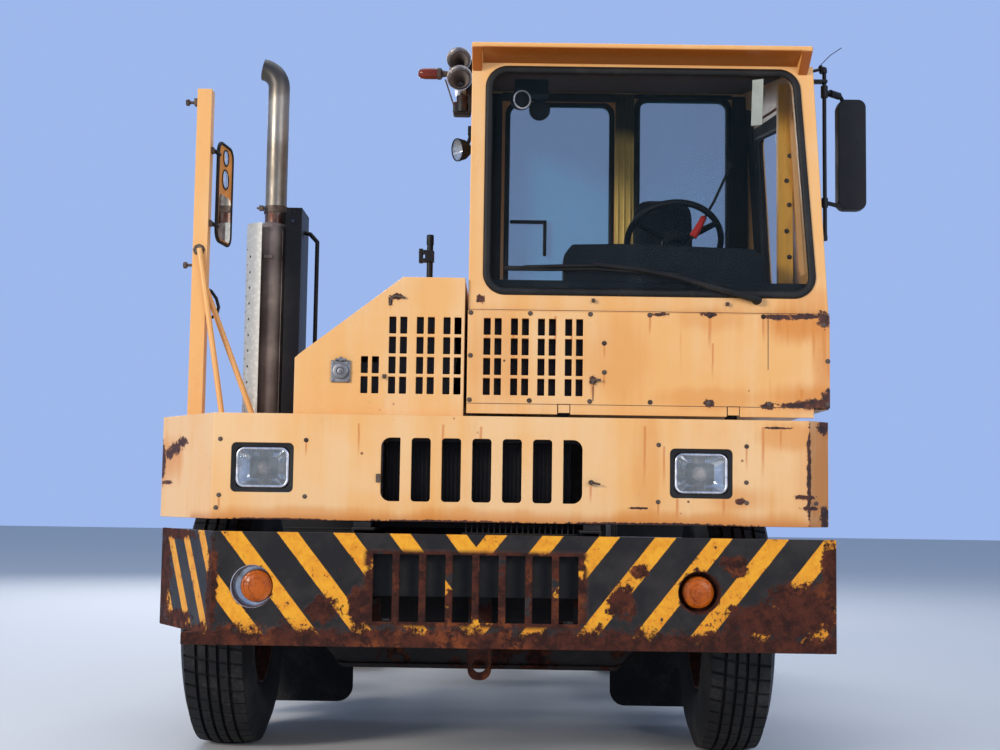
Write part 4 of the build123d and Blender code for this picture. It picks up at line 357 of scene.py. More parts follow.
def chassis_paint(name, rust, dark=(0.010, 0.010, 0.011), worn=(0.032, 0.029, 0.026)):
    """Black paint under road dust, with rust coming through."""
    s = Shader(name, rough=0.6, Specular_IOR_Level=0.25)
    fine = s.noise(36.0, 5, 0.7)
    broad = s.noise(3.2, 4, 0.6, shift=3.0)
    mask = s.step(s.plus(s.times(broad, 0.7), s.times(fine, 0.4)),
                  0.74 - rust * 0.30, 0.80 - rust * 0.26)
    base = s.mix(s.step(s.noise(12.0, 4, 0.6, shift=5.0), 0.4, 0.8), dark, worn)
    up = s.step(s.facing_up(), 0.25, 0.95)
    base = s.mix(s.times(up, 0.3), base, ROAD_DUST)
    s.color(s.mix(mask, base, rust_color(s)))
    s.rough(s.step(mask, 0.0, 1.0, 0.5, 0.9))
    s.bump(s.plus(fine, s.times(mask, 0.5)), 0.25, 0.002)
    return s.material


def rubber(name, dust=0.4, color=(0.012, 0.012, 0.013), rough=0.7):
    s = Shader(name, rough=rough, Specular_IOR_Level=0.3)
    fine = s.noise(90.0, 4, 0.7)
    broad = s.noise(7.0, 4, 0.6, shift=4.0)
    dusty = s.times(s.step(s.plus(s.times(fine, 0.4), s.times(broad, 0.7)), 0.5, 0.75), dust)
    s.color(s.mix(dusty, color, (0.13, 0.12, 0.11)))
    s.rough(s.step(dusty, 0.0, 0.6, rough, 0.95))
    s.bump(fine, 0.15, 0.0015)
    return s.material


def metal(name, color, rough, stain=None, stained=0.0, bump=0.08, metallic=1.0):
    """Bare or plated metal with a brushed or stained finish."""
    s = Shader(name, rough=rough, metal=metallic)
    fine = s.noise(60.0, 4, 0.65)
    base = s.mix(s.step(fine, 0.3, 0.7), tuple(c * 0.8 for c in color), color)
    if stain:
        mask = s.times(s.step(s.noise(8.0, 5, 0.7, shift=4.0), 0.45, 0.7), stained)
        base = s.mix(mask, base, stain)
    s.color(base)
    s.rough(s.step(s.noise(24.0, 4, 0.7, shift=8.0), 0.2, 0.8, rough * 0.75, min(1.0, rough * 1.5)))
    s.bump(fine, bump, 0.001)
    return s.material


def plastic(name, color, rough=0.55, grain=220.0, strength=0.12):
    s = Shader(name, rough=rough, Specular_IOR_Level=0.2)
    grainy = s.cells(grain)
    worn = s.noise(9.0, 4, 0.6, shift=2.0)
    s.color(s.mix(s.step(worn, 0.45, 0.8), color, tuple(min(1.0, c * 1.5 + 0.006) for c in color)))
    s.rough(s.step(worn, 0.3, 0.8, rough * 0.85, min(1.0, rough * 1.25)))
    s.bump(grainy, strength, 0.0006)
    return s.material


def cloth(name, color):
    """A woven seat cover."""
    s = Shader(name, rough=0.9, Sheen_Weight=0.12, Specular_IOR_Level=0.3)
    x, y, z = s.axes()
    warp = s.wave(s.plus(x, y), 2600.0)
    weft = s.wave(s.minus(z, y), 2600.0)
    weave = s.times(warp, weft)
    broad = s.noise(14.0, 4, 0.6)
    s.color(s.mix(s.step(s.scaled(weave, 0.25, broad), 0.3, 0.85), color,
        tuple(c * 2.0 + 0.004 for c in color)))
    s.bump(weave, 0.25, 0.0008)
    return s.material


def window_glass():
    s = Shader("glass", rough=0.03, Alpha=0.24, Specular_IOR_Level=0.18)
    dusty = s.noise(5.0, 5, 0.7)
    _, y, z = s.datum()
    low = s.step(z, 2.05, 1.75)
    film = s.times(s.times(s.step(dusty, 0.45, 0.8), s.scaled(low, 0.8, 0.1)), 0.28)
    # the rear panes get a strong blue tint and more alpha: painted sky light seen through them
    behind = s.step(y, 1.15, 1.25)
    s.color(s.mix(film, s.mix(behind, (0.008, 0.016, 0.020), (0.03, 0.40, 0.62)), (0.22, 0.27, 0.29)))
    s.put(s.bsdf.inputs["Alpha"], s.scaled(film, 0.35, s.scaled(behind, 0.14, 0.17)))
    s.rough(s.step(film, 0.0, 0.5, 0.03, 0.35))
    return s.material


def lens(name, color, deep, flutes=420.0, rough=0.12):
    s = Shader(name, rough=rough, Specular_IOR_Level=0.25, Coat_Weight=0.12, Coat_Roughness=0.1)
    x, _, z = s.axes()
    rings = s.wave(x, flutes)
    cross = s.wave(z, flutes)
    dirt = s.noise(26.0, 4, 0.7)
    s.color(s.mix(s.step(dirt, 0.4, 0.75), color, deep))
    s.bump(s.plus(rings, cross), 0.2, 0.0008)
    return s.material


def clear_lens():
    s = Shader("clear_lens", rough=0.08, Alpha=0.26, Coat_Weight=0.4, Coat_Roughness=0.05)
    x, _, z = s.axes()
    flute = s.wave(x, 700.0)
    band = s.wave(z, 240.0)
    s.color(s.mix(s.step(s.noise(14.0, 3, 0.6), 0.4, 0.7), (0.38, 0.43, 0.48), (0.58, 0.64, 0.69)))
    s.bump(s.plus(flute, band), 0.35, 0.001)
    return s.material


def tread_plate():
    """Raised bars on a dark plate."""
    s = Shader("tread_plate", rough=0.55, metal=0.3)
    x, y, _ = s.axes()
    a = s.wave(s.plus(x, y), 190.0)
    b = s.wave(s.minus(x, y), 190.0)
    bars = s.step(s.either(s.times(a, a), s.times(b, b)), 0.86, 0.95)
    grime = s.noise(7.0, 5, 0.7)
    base = s.mix(s.step(grime, 0.45, 0.7), (0.05, 0.047, 0.045), RUST)
    s.color(s.mix(s.times(bars, 0.5), base, (0.20, 0.19, 0.18)))
    s.bump(bars, 0.6, 0.003)
    return s.material


def exhaust_pipe():
    """A stack stained gold and brown by heat, sooty at the tip."""
    s = Shader("stack_steel", rough=0.42, metal=0.7)
    z = s.datum()[2]
    fine = s.noise(30.0, 5, 0.7, stretch=(1, 1, 0.2))
    broad = s.noise(5.0, 4, 0.6, shift=4.0)
    warm = s.mix(s.step(broad, 0.35, 0.7), (0.27, 0.245, 0.21), (0.16, 0.135, 0.105))
    soot = s.step(s.scaled(broad, 0.12, z), 2.74, 2.88)
    rust = s.step(s.scaled(fine, 0.5, s.step(z, 2.30, 2.18)), 1.15, 1.32)
    s.color(s.mix(rust, s.mix(soot, warm, (0.055, 0.05, 0.045)), RUST))
    s.rough(s.step(fine, 0.3, 0.75, 0.34, 0.55))
    s.bump(fine, 0.12, 0.001)
    return s.material


def muffler_steel():
    s = Shader("muffler_steel", rough=0.55, metal=0.3)
    fine = s.noise(20.0, 5, 0.7, stretch=(1, 1, 0.15))
    broad = s.noise(4.0, 4, 0.6, shift=4.0)
    base = s.mix(s.step(broad, 0.35, 0.65), (0.25, 0.205, 0.18), (0.115, 0.09, 0.08))
    s.color(s.mix(s.times(s.step(fine, 0.55, 0.7), s.step(broad, 0.4, 0.6)), base, RUST))
    s.bump(fine, 0.2, 0.002)
    return s.material


def rim_paint():
    """Grey wheel paint outside, rust on the side that the brakes heat."""
    s = Shader("rim_paint", rough=0.5, metal=0.1)
    x, y, _ = s.datum()
    fine = s.noise(60.0, 4, 0.65)
    stain = s.times(s.step(s.noise(8.0, 5, 0.7, shift=4.0), 0.45, 0.7), 0.7)
    base = s.mix(s.step(fine, 0.3, 0.7), (0.48, 0.465, 0.43), (0.60, 0.58, 0.54))
    base = s.mix(stain, base, (0.16, 0.08, 0.05))
    inner = s.times(s.step(s.math("ABSOLUTE", x), 1.035, 0.99), s.step(y, 2.6, 2.4))
    s.color(s.mix(inner, base, rust_color(s)))
    s.rough(s.step(fine, 0.2, 0.8, 0.38, 0.65))
    s.bump(fine, 0.08, 0.001)
    return s.material


def shield_steel():
    s = Shader("shield_steel", rough=0.5, metal=0.15)
    spangle = s.cells(55.0)
    z = s.datum()[2]
    base = s.mix(s.step(spangle, 0.1, 0.6), (0.47, 0.465, 0.44), (0.38, 0.38, 0.36))
    fine = s.noise(26.0, 5, 0.7, stretch=(1, 1, 0.2))
    low = s.step(s.scaled(fine, 0.35, z), 1.66, 1.50)
    s.color(s.mix(s.times(low, s.step(fine, 0.4, 0.65)), base, RUST))
    s.bump(fine, 0.08, 0.001)
    return s.material


def greased_plate():
    s = Shader("machined_steel", rough=0.4, metal=0.7)
    fine = s.noise(14.0, 5, 0.7)
    scratch = s.noise(40.0, 3, 0.6, stretch=(1, 0.08, 1), shift=3.0)
    base = s.mix(s.step(scratch, 0.5, 0.75), (0.05, 0.045, 0.04), (0.24, 0.23, 0.22))
    s.color(s.mix(s.step(fine, 0.52, 0.66), base, RUST_DARK))
    s.rough(s.step(fine, 0.3, 0.7, 0.25, 0.7))
    s.bump(fine, 0.3, 0.003)
    return s.material


PANEL_RUST = [
    ((1060, 130, 1660), (55, 60, 14)), ((1150, 130, 1664), (70, 60, 14)), ((1222, 130, 1652), (28, 60, 36)),
    ((1190, 130, 1350), (80, 60, 20)), ((1235, 130, 1365), (28, 60, 42)), ((1110, 130, 1345), (60, 60, 12)),
    ((640, 130, 1664), (34, 60, 9)), ((815, 130, 1666), (34, 60, 11)), ((815, 130, 1350), (20, 60, 16)),
    ((402, 130, 1423), (14, 60, 18)), ((1024, 130, 1342), (30, 60, 14)), ((0, 150, 1712), (16, 60, 18)),
    ((1240, 400, 1352), (20, 240, 20)), ((1240, 900, 1350), (20, 240, 18)),
]
COWL_RUST = [
    ((-1085, 312, 1192), (36, 60, 20)), ((-1120, 362, 1170), (44, 70, 26)),
    ((-1155, 410, 1152), (34, 60, 24)),
    ((-1190, 462, 1120), (20, 60, 80)), ((-1165, 428, 1045), (40, 60, 9)),
    ((1159, 90, 1100), (9, 60, 190)), ((1150, 90, 1020), (50, 60, 10)), ((1170, 90, 983), (44, 60, 8)),
    ((1225, 140, 1270), (34, 60, 32)), ((1225, 150, 950), (24, 60, 50)), ((920, 90, 1003), (20, 60, 14)),
    ((1040, 90, 1262), (60, 60, 5)), ((-914, 90, 956), (8, 60, 8)), ((560, 90, 975), (34, 60, 5)),
    ((-100, 90, 918), (300, 60, 7)), ((620, 90, 918), (360, 60, 8)), ((-700, 90, 918), (200, 60, 6)),
    ((1236, 300, 930), (20, 160, 24)),
]

# deeper colour where rust has bled: place, size in millimetres, and share
PANEL_STAINS = (
    ((1160, 130, 1640), (170, 80, 90), 0.85), ((1190, 130, 1370), (150, 80, 70), 0.8),
    ((1225, 130, 1500), (60, 80, 260), 0.6), ((60, 130, 1500), (130, 80, 220), 0.35),
    ((480, 130, 1500), (160, 80, 160), 0.30), ((820, 130, 1650), (150, 80, 60), 0.4),
    ((820, 130, 1365), (260, 80, 50), 0.4), ((1180, 150, 1730), (120, 80, 60), 0.4),
)
COWL_STAINS = (
    ((1215, 130, 1080), (90, 300, 330), 0.85), ((1240, 140, 1270), (70, 300, 60), 0.9),
    ((1110, 90, 1230), (160, 80, 50), 0.5), ((760, 90, 935), (420, 80, 40), 0.6),
    ((100, 90, 935), (420, 80, 36), 0.5), ((-620, 90, 935), (460, 80, 36), 0.5),
    ((910, 90, 1010), (120, 80, 60), 0.5),
    ((-1150, 400, 1130), (120, 160, 110), 0.6), ((600, 90, 1120), (60, 80, 220), 0.3),
)

# rust runs: place across, top and length, half width, in millimetres
PANEL_DRIPS = (
    (23, 1640, 120, 7), (117, 1600, 150, 6), (267, 1650, 190, 7), (325, 1640, 160, 6), (402, 1410, 60, 10),
    (602, 1650, 70, 6), (815, 1650, 130, 8), (826, 1560, 150, 5), (1006, 1650, 90, 6), (1060, 1650, 60, 12),
    (1092, 1650, 110, 6), (1150, 1650, 90, 12), (1184, 1645, 180, 7), (1222, 1630, 220, 9),
    (1234, 1500, 80, 7),
    (1140, 1400, 50, 8), (441, 1550, 60, 5), (442, 1448, 60, 5),
)
COWL_DRIPS = (
    (-124, 1255, 220, 6), (9, 1250, 250, 7), (583, 1260, 240, 7), (651, 1190, 160, 6), (697, 1010, 90, 7),
    (998, 1262, 210, 7), (-604, 1190, 60, 5), (-905, 990, 60, 6), (940, 1190, 90, 5), (1060, 1258, 90, 6),
    (1183, 990, 60, 8), (632, 990, 60, 5), (-420, 1255, 130, 5), (860, 1010, 80, 7), (396, 1050, 70, 6),
)

# each look, grouped under the name of a material slot
LOOKS = {
    "yellow_paint": {
        "enamel": enamel("enamel_cab", PANEL_RUST, pale=0.55, streaks=0.55, chips=0.9, drips=PANEL_DRIPS,
            stains=PANEL_STAINS),
        "enamel_cowl": enamel("enamel_cowl", COWL_RUST, pale=0.75, streaks=0.5, chips=0.8, drips=COWL_DRIPS,
            fade_low=0.925, stains=COWL_STAINS),
        "enamel_hood": enamel("enamel_hood", [((-300, 130, 1714), (26, 60, 12)),
            ((-322, 130, 1696), (8, 60, 18))], pale=0.7, streaks=0.35, chips=0.4),
        # the roof takes the full painted shade under its visor
        "enamel_roof": enamel("enamel_roof", (), pale=0.4, streaks=0.3, chips=0.3, deep=0.1, under=1.0),
        "enamel_post": enamel("enamel_post", (), pale=0.5, streaks=0.4, chips=0.5),
        "door_post": sunlit_post("door_post_paint", (0.80, 0.42, 0.05), 2.70, 0.9),
        # the column's colour is pushed to full brightness as painted sunlight, and drops to near black
        # above 2.60 m as painted shade
        "column": sunlit_post("column_painted_sunlight", (1.0, 0.74, 0.20), 2.60, 0.08),
        # dark brown for the cab's headliner: painted shade
        "inside": plastic("headliner_shade_paint", (0.085, 0.036, 0.016), 0.9, 90.0, 0.2),
    },
    "bumper_paint": {"stripes": striped()},
    "black_steel": {
        "black": chassis_paint("black_steel", 0.35),
        # frame rails: black paint darkened further as painted shade
        "rail": chassis_paint("rail_black_and_shade", 0.35, (0.003, 0.0025, 0.0025), (0.010, 0.008, 0.0075)),
        "black_rusty": chassis_paint("rusty_steel", 0.95),
        "black_clean": chassis_paint("black_enamel", 0.05, (0.006, 0.006, 0.007), (0.016, 0.015, 0.015)),
        # near black for the radiator, the sheet behind the hood's slots and the intake recess: black paint
        # darkened as painted shade
        "core": chassis_paint("radiator_black_and_shade", 0.25, (0.004, 0.0022, 0.002), (0.010, 0.006, 0.005)),
        "tread": tread_plate(),
    },
    "cast_grey": {
        "cast": chassis_paint("cast_grey", 0.7, (0.016, 0.013, 0.012), (0.030, 0.025, 0.022)),
        "bolt": metal("bolt_steel", (0.12, 0.085, 0.065), 0.6, RUST_DARK, 0.9, metallic=0.5),
    },
    "tyre": {"tyre": rubber("tyre", 0.22, (0.007, 0.007, 0.008))},
    "rubber": {
        "rubber": rubber("rubber", 0.25, (0.010, 0.010, 0.011)),
        "gasket": rubber("gasket", 0.12, (0.004, 0.004, 0.004), 0.6),
    },
    "rim_paint": {"rim": rim_paint()},
    "glass": {"glass": window_glass()},
    "amber_lens": {
        "amber": lens("amber_lens", (0.42, 0.088, 0.004), (0.22, 0.040, 0.003), rough=0.3),
        "beacon": lens("beacon_lens", (0.16, 0.022, 0.010), (0.09, 0.015, 0.008), 500.0),
        "amber_plate": plastic("amber_plate", (0.62, 0.26, 0.05), 0.5),
    },
    "red_lens": {
        "red": lens("red_lens", (0.55, 0.02, 0.01), (0.30, 0.01, 0.01)),
        "red_plastic": plastic("red_plastic", (0.55, 0.03, 0.02), 0.4),
    },
    "clear_lens": {"clear": clear_lens()},
    "bright_steel": {
        "reflector": metal("reflector", (0.66, 0.69, 0.72), 0.12, (0.06, 0.065, 0.075), 0.85, bump=0.02),
        "lamp_cup": metal("lamp_cup_steel", (0.55, 0.57, 0.60), 0.3, RUST_DARK, 0.9),
        "chrome": metal("bright_steel", (0.66, 0.66, 0.68), 0.28, (0.14, 0.12, 0.10), 0.5),
        "zinc": metal("zinc", (0.26, 0.26, 0.26), 0.45, (0.10, 0.075, 0.05), 0.7),
        "mirror": metal("mirror_glass", (0.85, 0.87, 0.88), 0.03, bump=0.0),
        "shield": shield_steel(),
    },
    "exhaust_steel": {
        "stack": exhaust_pipe(),
        "muffler": muffler_steel(),
    },
    "machined_steel": {
        "plate": greased_plate(),
        "rod": metal("rod_chrome", (0.7, 0.7, 0.7), 0.12, bump=0.01),
    },
    "seat_cloth": {"cloth": cloth("seat_cloth", (0.003, 0.005, 0.011))},
    "dark_plastic": {
        "plastic": plastic("dark_plastic", (0.005, 0.006, 0.009)),
        "dash": plastic("dash_plastic", (0.007, 0.010, 0.014), 0.8, 160.0, 0.2),
        # dark sheets inside the cab: painted shade
        "lining": plastic("dark_shade_lining", (0.018, 0.011, 0.009), 0.9, 90.0, 0.2),
        "label": plastic("blank_label", (0.62, 0.66, 0.58), 0.5),
    },
}
MATERIALS = {look: material for group in LOOKS.values() for look, material in group.items()}


# Geometry helpers

EDGE_ANGLE = 35.0
CREASE_ANGLE = 38.0


class Form:
    """The mesh under construction, in frame metres, from parts that are given in millimetres."""

    def __init__(self):
        self.bm = bmesh.new()

    def faces_of(self, verts, faces):
        made = [self.bm.verts.new(v) for v in verts]
        for face in faces:
            if len(set(face)) > 2:
                self.bm.faces.new([made[i] for i in face]).smooth = True

    def box(self, low, high, bevel=0.0):
        """A box between two corners, with round edges."""
        a, b = at(*low), at(*high)
        size = b - a
        small = bmesh.new()
        bmesh.ops.create_cube(small, size=1.0)
        bmesh.ops.scale(small, vec=size, verts=small.verts[:])
        if bevel:
            width = min(bevel / 1000, min(abs(v) for v in size) * 0.49)
            bmesh.ops.bevel(small, geom=small.edges[:], offset=width, segments=3, profile=0.5,
                affect="EDGES")
        small.verts.index_update()
        middle = (a + b) / 2
        self.faces_of([middle + v.co for v in small.verts],
            [[v.index for v in f.verts] for f in small.faces])
        small.free()

    def lathe(self, profile, origin, axis, count=32, closed=False):
        """Turn (radius, height) pairs about an axis."""
        axis = Vector(axis).normalized()
        side = axis.orthogonal().normalized()
        other = axis.cross(side)
        origin = at(*origin)
        verts, faces = [], []
        m = len(profile)
        for n in range(count):
            angle = 2 * pi * n / count
            out = side * cos(angle) + other * sin(angle)
            verts += [origin + out * (max(r, 0.01) / 1000) + axis * (h / 1000) for r, h in profile]
            a, b = n * m, (n + 1) % count * m
            for i in range(m if closed else m - 1):
                j = (i + 1) % m
                faces.append((a + i, b + i, b + j, a + j))
        self.faces_of(verts, faces)

    def tube(self, points, radius, count=12, ends=True, flat=1.0, up=None, closed=False):
        """A round or flat tube along a path."""
        path = [at(*p) for p in points]
        last = len(path) - 1
        verts = []
        side = None
        for i, p in enumerate(path):
            if closed:
                ahead, behind = path[(i + 1) % len(path)], path[i - 1]
            else:
                ahead, behind = path[min(i + 1, last)], path[max(i - 1, 0)]
            along = (ahead - behind).normalized()
            if up is not None:
                side = Vector(up).cross(along).normalized()
            elif side is None:
                side = along.orthogonal().normalized()
            else:
                side = (side - along * side.dot(along)).normalized()
            other = along.cross(side)
            r = (radius(i / last) if callable(radius) else radius) / 1000
            for n in range(count):
                angle = 2 * pi * n / count
                verts.append(p + side * cos(angle) * r + other * sin(angle) * r * flat)
        faces = []
        for i in range(len(path) if closed else last):
            a, b = i * count, ((i + 1) % len(path)) * count
            for n in range(count):
                k = (n + 1) % count
                faces.append((a + n, a + k, b + k, b + n))
        if ends and not closed:
            faces.append(tuple(reversed(range(count))))
            faces.append(tuple(last * count + n for n in range(count)))
        self.faces_of(verts, faces)

    def hoop(self, loop, y, radius, count=10, flat=1.0):
        """A closed tube along an upright loop, at one distance from the front."""
        self.tube([(p.x, y, p.z) for p in loop], radius, count, closed=True, up=BACK, flat=flat)

    def skin(self, rings, first=False, last=False):
        """Faces between closed rings of points, with the first or the last ring filled."""
        n = len(rings[0])
        faces = []
        for r in range(len(rings) - 1):
            for i in range(n):
                j = (i + 1) % n
                faces.append((r * n + i, r * n + j, (r + 1) * n + j, (r + 1) * n + i))
        if first:
            faces.append(tuple(reversed(range(n))))
        if last:
            faces.append(tuple((len(rings) - 1) * n + i for i in range(n)))
        self.faces_of([at(*p) for ring in rings for p in ring], faces)

    def prism(self, outline, offset):
        """An outline of points, swept by an offset."""
        first = [at(*p) for p in outline]
        second = [p + Vector(offset) / 1000 for p in first]
        n = len(first)
        faces = [tuple(range(n)), tuple(reversed(range(n, 2 * n)))]
        faces += [(i, i + n, (i + 1) % n + n, (i + 1) % n) for i in range(n)]
        self.faces_of(first + second, faces)

    def bolt(self, place, out, size, height):
        """A hexagon head on a washer."""
        self.lathe([(0, -1), (size * 1.35, -1), (size * 1.35, 1.6), (size * 0.9, 2.0)], place, out, 16)
        self.lathe([(size, 1.0), (size, height * 0.8), (size * 0.82, height), (0, height)], place, out, 6)

    def make(self, name, look, body, stands_for=(), sharp=CREASE_ANGLE):
        """Turn the parts so far into a piece that rides on a body, and start the next one."""
        bmesh.ops.recalc_face_normals(self.bm, faces=self.bm.faces[:])
        mesh = bpy.data.meshes.new(name)
        self.bm.to_mesh(mesh)
        self.bm.free()
        self.bm = bmesh.new()
        mesh.set_sharp_from_angle(angle=radians(sharp))
        piece(name, mesh, look, body, stands_for)


form = Form()
box, tube, hoop, lathe = form.box, form.tube, form.hoop, form.lathe
skin, prism, bolt, make = form.skin, form.prism, form.bolt, form.make


def piece(name, mesh, look, body, stands_for=(), weighted=True):
    obj = bpy.data.objects.new(name, mesh)
    SCENE.collection.objects.link(obj)
    mesh.materials.clear()
    mesh.materials.append(MATERIALS[look])
    if weighted:
        obj.modifiers.new("normals", "WEIGHTED_NORMAL").keep_sharp = True
    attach(obj, body)
    if stands_for:
        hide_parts(*stands_for)
    return obj


def dressed(node, look, width, least=0.0):
    """The CAD node's own form in its place, with its edges rounded where they are no shorter than least."""
    bm = bmesh.new()
    bm.from_mesh(frame["nodes"][node].data)
    bmesh.ops.remove_doubles(bm, verts=bm.verts[:], dist=2e-5)
    bmesh.ops.dissolve_limit(bm, angle_limit=radians(1.0), verts=bm.verts[:], edges=bm.edges[:])
    bmesh.ops.recalc_face_normals(bm, faces=bm.faces[:])
    if width:
        folds = [e for e in bm.edges if len(e.link_faces) == 2 and e.calc_length() >= least / 1000]
        edges = [e for e in folds if e.calc_face_angle(0.0) > radians(EDGE_ANGLE)]
        bmesh.ops.bevel(bm, geom=edges, offset=width / 1000, segments=2, profile=0.5, affect="EDGES",
                        clamp_overlap=False, harden_normals=False)
    for f in bm.faces:
        f.smooth = True
    mesh = bpy.data.meshes.new(node + "_form")
    bm.to_mesh(mesh)
    bm.free()
    mesh.set_sharp_from_angle(angle=radians(CREASE_ANGLE))
    piece(node + "_form", mesh, look, frame["nodes"][node]["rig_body"], (node,))


def painted(node, look):
    """A CAD node that keeps its own mesh and gets a better material."""
    obj = frame["nodes"][node]
    obj.data.materials.clear()
    obj.data.materials.append(MATERIALS[look])
    for poly in obj.data.polygons:
        poly.use_smooth = True
    obj.data.set_sharp_from_angle(angle=radians(30))


def rounded_loop(corners, radius, per_corner=8):
    """Points along a closed outline whose corners are rounded."""
    made = []
    n = len(corners)
    for i in range(n):
        before, here, after = (Vector(corners[i - 1]), Vector(corners[i]), Vector(corners[(i + 1) % n]))
        a = (before - here).normalized()
        b = (after - here).normalized()
        half = a.angle(b) / 2
        reach = radius / tan(half)
        start, end = here + a * reach, here + b * reach
        centre = here + (a + b).normalized() * (radius / sin(half))
        u, w = start - centre, end - centre
        total = u.angle(w)
        for k in range(per_corner + 1):
            t = total * k / per_corner
            made.append(centre + (u * sin(total - t) + w * sin(t)) / sin(total))
    return made


def rounded_panel(low_x, high_x, low_z, high_z, radius, per_corner=8):
    """Points along an upright rectangle with rounded corners."""
    corners = [(low_x, 0, low_z), (high_x, 0, low_z), (high_x, 0, high_z), (low_x, 0, high_z)]
    return rounded_loop(corners, radius, per_corner)


def drawn_in(loop, x, y, z, wide, tall):
    """A loop's points drawn in towards a middle, at one distance from the front."""
    return [(x + (p.x - x) * wide, y, z + (p.z - z) * tall) for p in loop]


# CAD nodes with better finishes

for node, look, width in (
    ("front_cowl", "enamel_cowl", 2.0), ("hood", "enamel_hood", 2.5), ("side_deck", "enamel_hood", 2.0),
    ("cab_shell", "enamel", 3.0), ("cab_roof", "enamel_roof", 6.0), ("cab_panel", "enamel", 2.0),
    ("side_door", "enamel", 3.0), ("rear_door", "enamel", 3.0), ("mirror_post", "enamel_post", 1.5),
    ("front_bumper", "stripes", 3.0), ("frame_rails", "rail", 2.0), ("frame_brackets", "black_rusty", 2.0),
    ("exhaust_shield", "shield", 0.0), ("tow_lug", "black_rusty", 3.0), ("cab_mounts", "black", 2.0),
    ("front_axle", "cast", 4.0), ("rear_axle", "cast", 5.0), ("front_springs", "black_rusty", 1.2),
    ("knuckle_left", "cast", 3.0), ("knuckle_right", "cast", 3.0), ("tie_rod", "black_rusty", 1.0),
    ("engine_block", "cast", 8.0), ("drive_shaft", "black_rusty", 2.0),
    ("boom", "black_rusty", 3.0), ("fifth_wheel", "plate", 3.0),
    ("battery_box", "black_clean", 6.0), ("fuel_tank", "black_clean", 3.0),
    ("air_tanks", "black_clean", 2.0),
    ("dashboard", "dash", 8.0),
    ("mud_flaps", "rubber", 2.0), ("rear_deck", "tread", 1.5),
):
    dressed(node, look, width)
dressed("exhaust_guard", "black_clean", 1.5, least=60.0)
for node, look in (
    ("cab_glass", "glass"), ("side_door_glass", "glass"), ("rear_door_glass", "glass"),
    ("lift_rod_left", "rod"), ("lift_rod_right", "rod"),
    ("lift_barrel_left", "black_clean"), ("lift_barrel_right", "black_clean"), ("hood_mast", "black_clean"),
):
    painted(node, look)


# Wheels

TYRE_RADIUS = 525.0
PITCHES = 54


def tyre(x, axle_y, phase):
    """A tyre with shoulder blocks, ribs and lateral sipes, and sidewall steps."""
    tread = 111.0
    grooves = (-62.0, -20.0, 20.0, 62.0)
    columns = [(-tread, 0.0), (-tread + 3, 4.0)]
    for g in grooves:
        columns += [(g - 6.5, 1.0), (g - 3.6, -15.0), (g + 3.6, -15.0), (g + 6.5, 1.0)]
    columns += [(tread - 3, 4.0), (tread, 0.0)]

    def crown(u):
        return TYRE_RADIUS - 9.0 * (abs(u) / tread) ** 2.4

    wall = [
        (105.0, 289.0), (112.0, 300.0), (121.0, 318.0), (128.0, 345.0), (129.6, 348.0), (129.6, 352.0),
        (133.0, 362.0), (138.0, 395.0), (139.5, 415.0), (139.5, 420.0), (137.0, 440.0), (136.0, 443.0),
        (131.0, 462.0), (124.0, 480.0), (118.0, 494.0), (113.5, 505.0),
    ]
    profile = [(-w, r, 0) for w, r in wall]
    for u, lift in columns:
        deep = lift < 0
        profile.append((u, crown(u) + (lift if deep else 0.0), 2 if deep else 1))
    profile += [(w, r, 0) for w, r in reversed(wall)]
    steps = []
    for p in range(PITCHES):
        a = p / PITCHES
        steps += [(a, 1), (a + 0.80 / PITCHES, 1), (a + 0.84 / PITCHES, 0), (a + 0.96 / PITCHES, 0)]
    verts, faces = [], []
    m = len(profile)
    for turn, high in steps:
        for u, r, kind in profile:
            skew = 0.0
            radius = r
            if kind == 1:
                zone = abs(u)
                skew = 0.30 * (1 if u > 0 else -1) * zone / tread
                if not high:
                    radius -= 11.0 if zone > 60 else 7.5
            angle = 2 * pi * (turn + phase + skew / PITCHES)
            verts.append(at(x + u, axle_y + cos(angle) * radius, TYRE_RADIUS + sin(angle) * radius))
    n = len(steps)
    for k in range(n):
        a, b = k * m, ((k + 1) % n) * m
        for i in range(m - 1):
            faces.append((a + i, a + i + 1, b + i + 1, b + i))
    form.faces_of(verts, faces)
    lathe([(289.0, -105.0), (284.0, -100.0), (284.0, 100.0), (289.0, 105.0)], (x, axle_y, TYRE_RADIUS),
        LEFT, 64)


def nuts(count, x, y, reach, size, height, side, first=0.0):
    """A ring of wheel nuts."""
    for n in range(count):
        angle = 2 * pi * (n + first) / count
        place = (side * x, y + reach * cos(angle), TYRE_RADIUS + reach * sin(angle))
        bolt(place, (side, 0, 0), size, height)


for name, side in (("left", 1), ("right", -1)):
    tyre(side * 1000.0, FRONT_AXLE_Y, 0.003 if side > 0 else 0.011)
    make(f"front_tyre_{name}_rubber", "tyre", f"front_wheel_{name}", (f"front_tyre_{name}",), 32)
    tyre(side * 1080.5, REAR_AXLE_Y, 0.006)
    tyre(side * 737.5, REAR_AXLE_Y, 0.013)
    make(f"rear_tyres_{name}_rubber", "tyre", f"rear_wheels_{name}", (f"rear_tyres_{name}",), 32)
    dressed(f"front_rim_{name}", "rim", 2.0)
    dressed(f"rear_rims_{name}", "rim", 2.0)
    nuts(10, 1067.0, FRONT_AXLE_Y, 143, 17, 24, side)
    hub = (side * 1000.0, FRONT_AXLE_Y, TYRE_RADIUS)
    lathe([(0, 104), (40, 104), (60, 100), (66, 92), (66, 60)], hub, (side, 0, 0), 32)
    make(f"front_hub_{name}", "zinc", f"front_wheel_{name}")
    nuts(10, 923.0, REAR_AXLE_Y, 143, 17, 24, side)
    nuts(8, 1099.0, REAR_AXLE_Y, 95, 9, 9, side, 0.5)
    make(f"rear_hub_{name}", "zinc", f"rear_wheels_{name}")


# Front face

PANEL_Y, COWL_Y = 130, 90

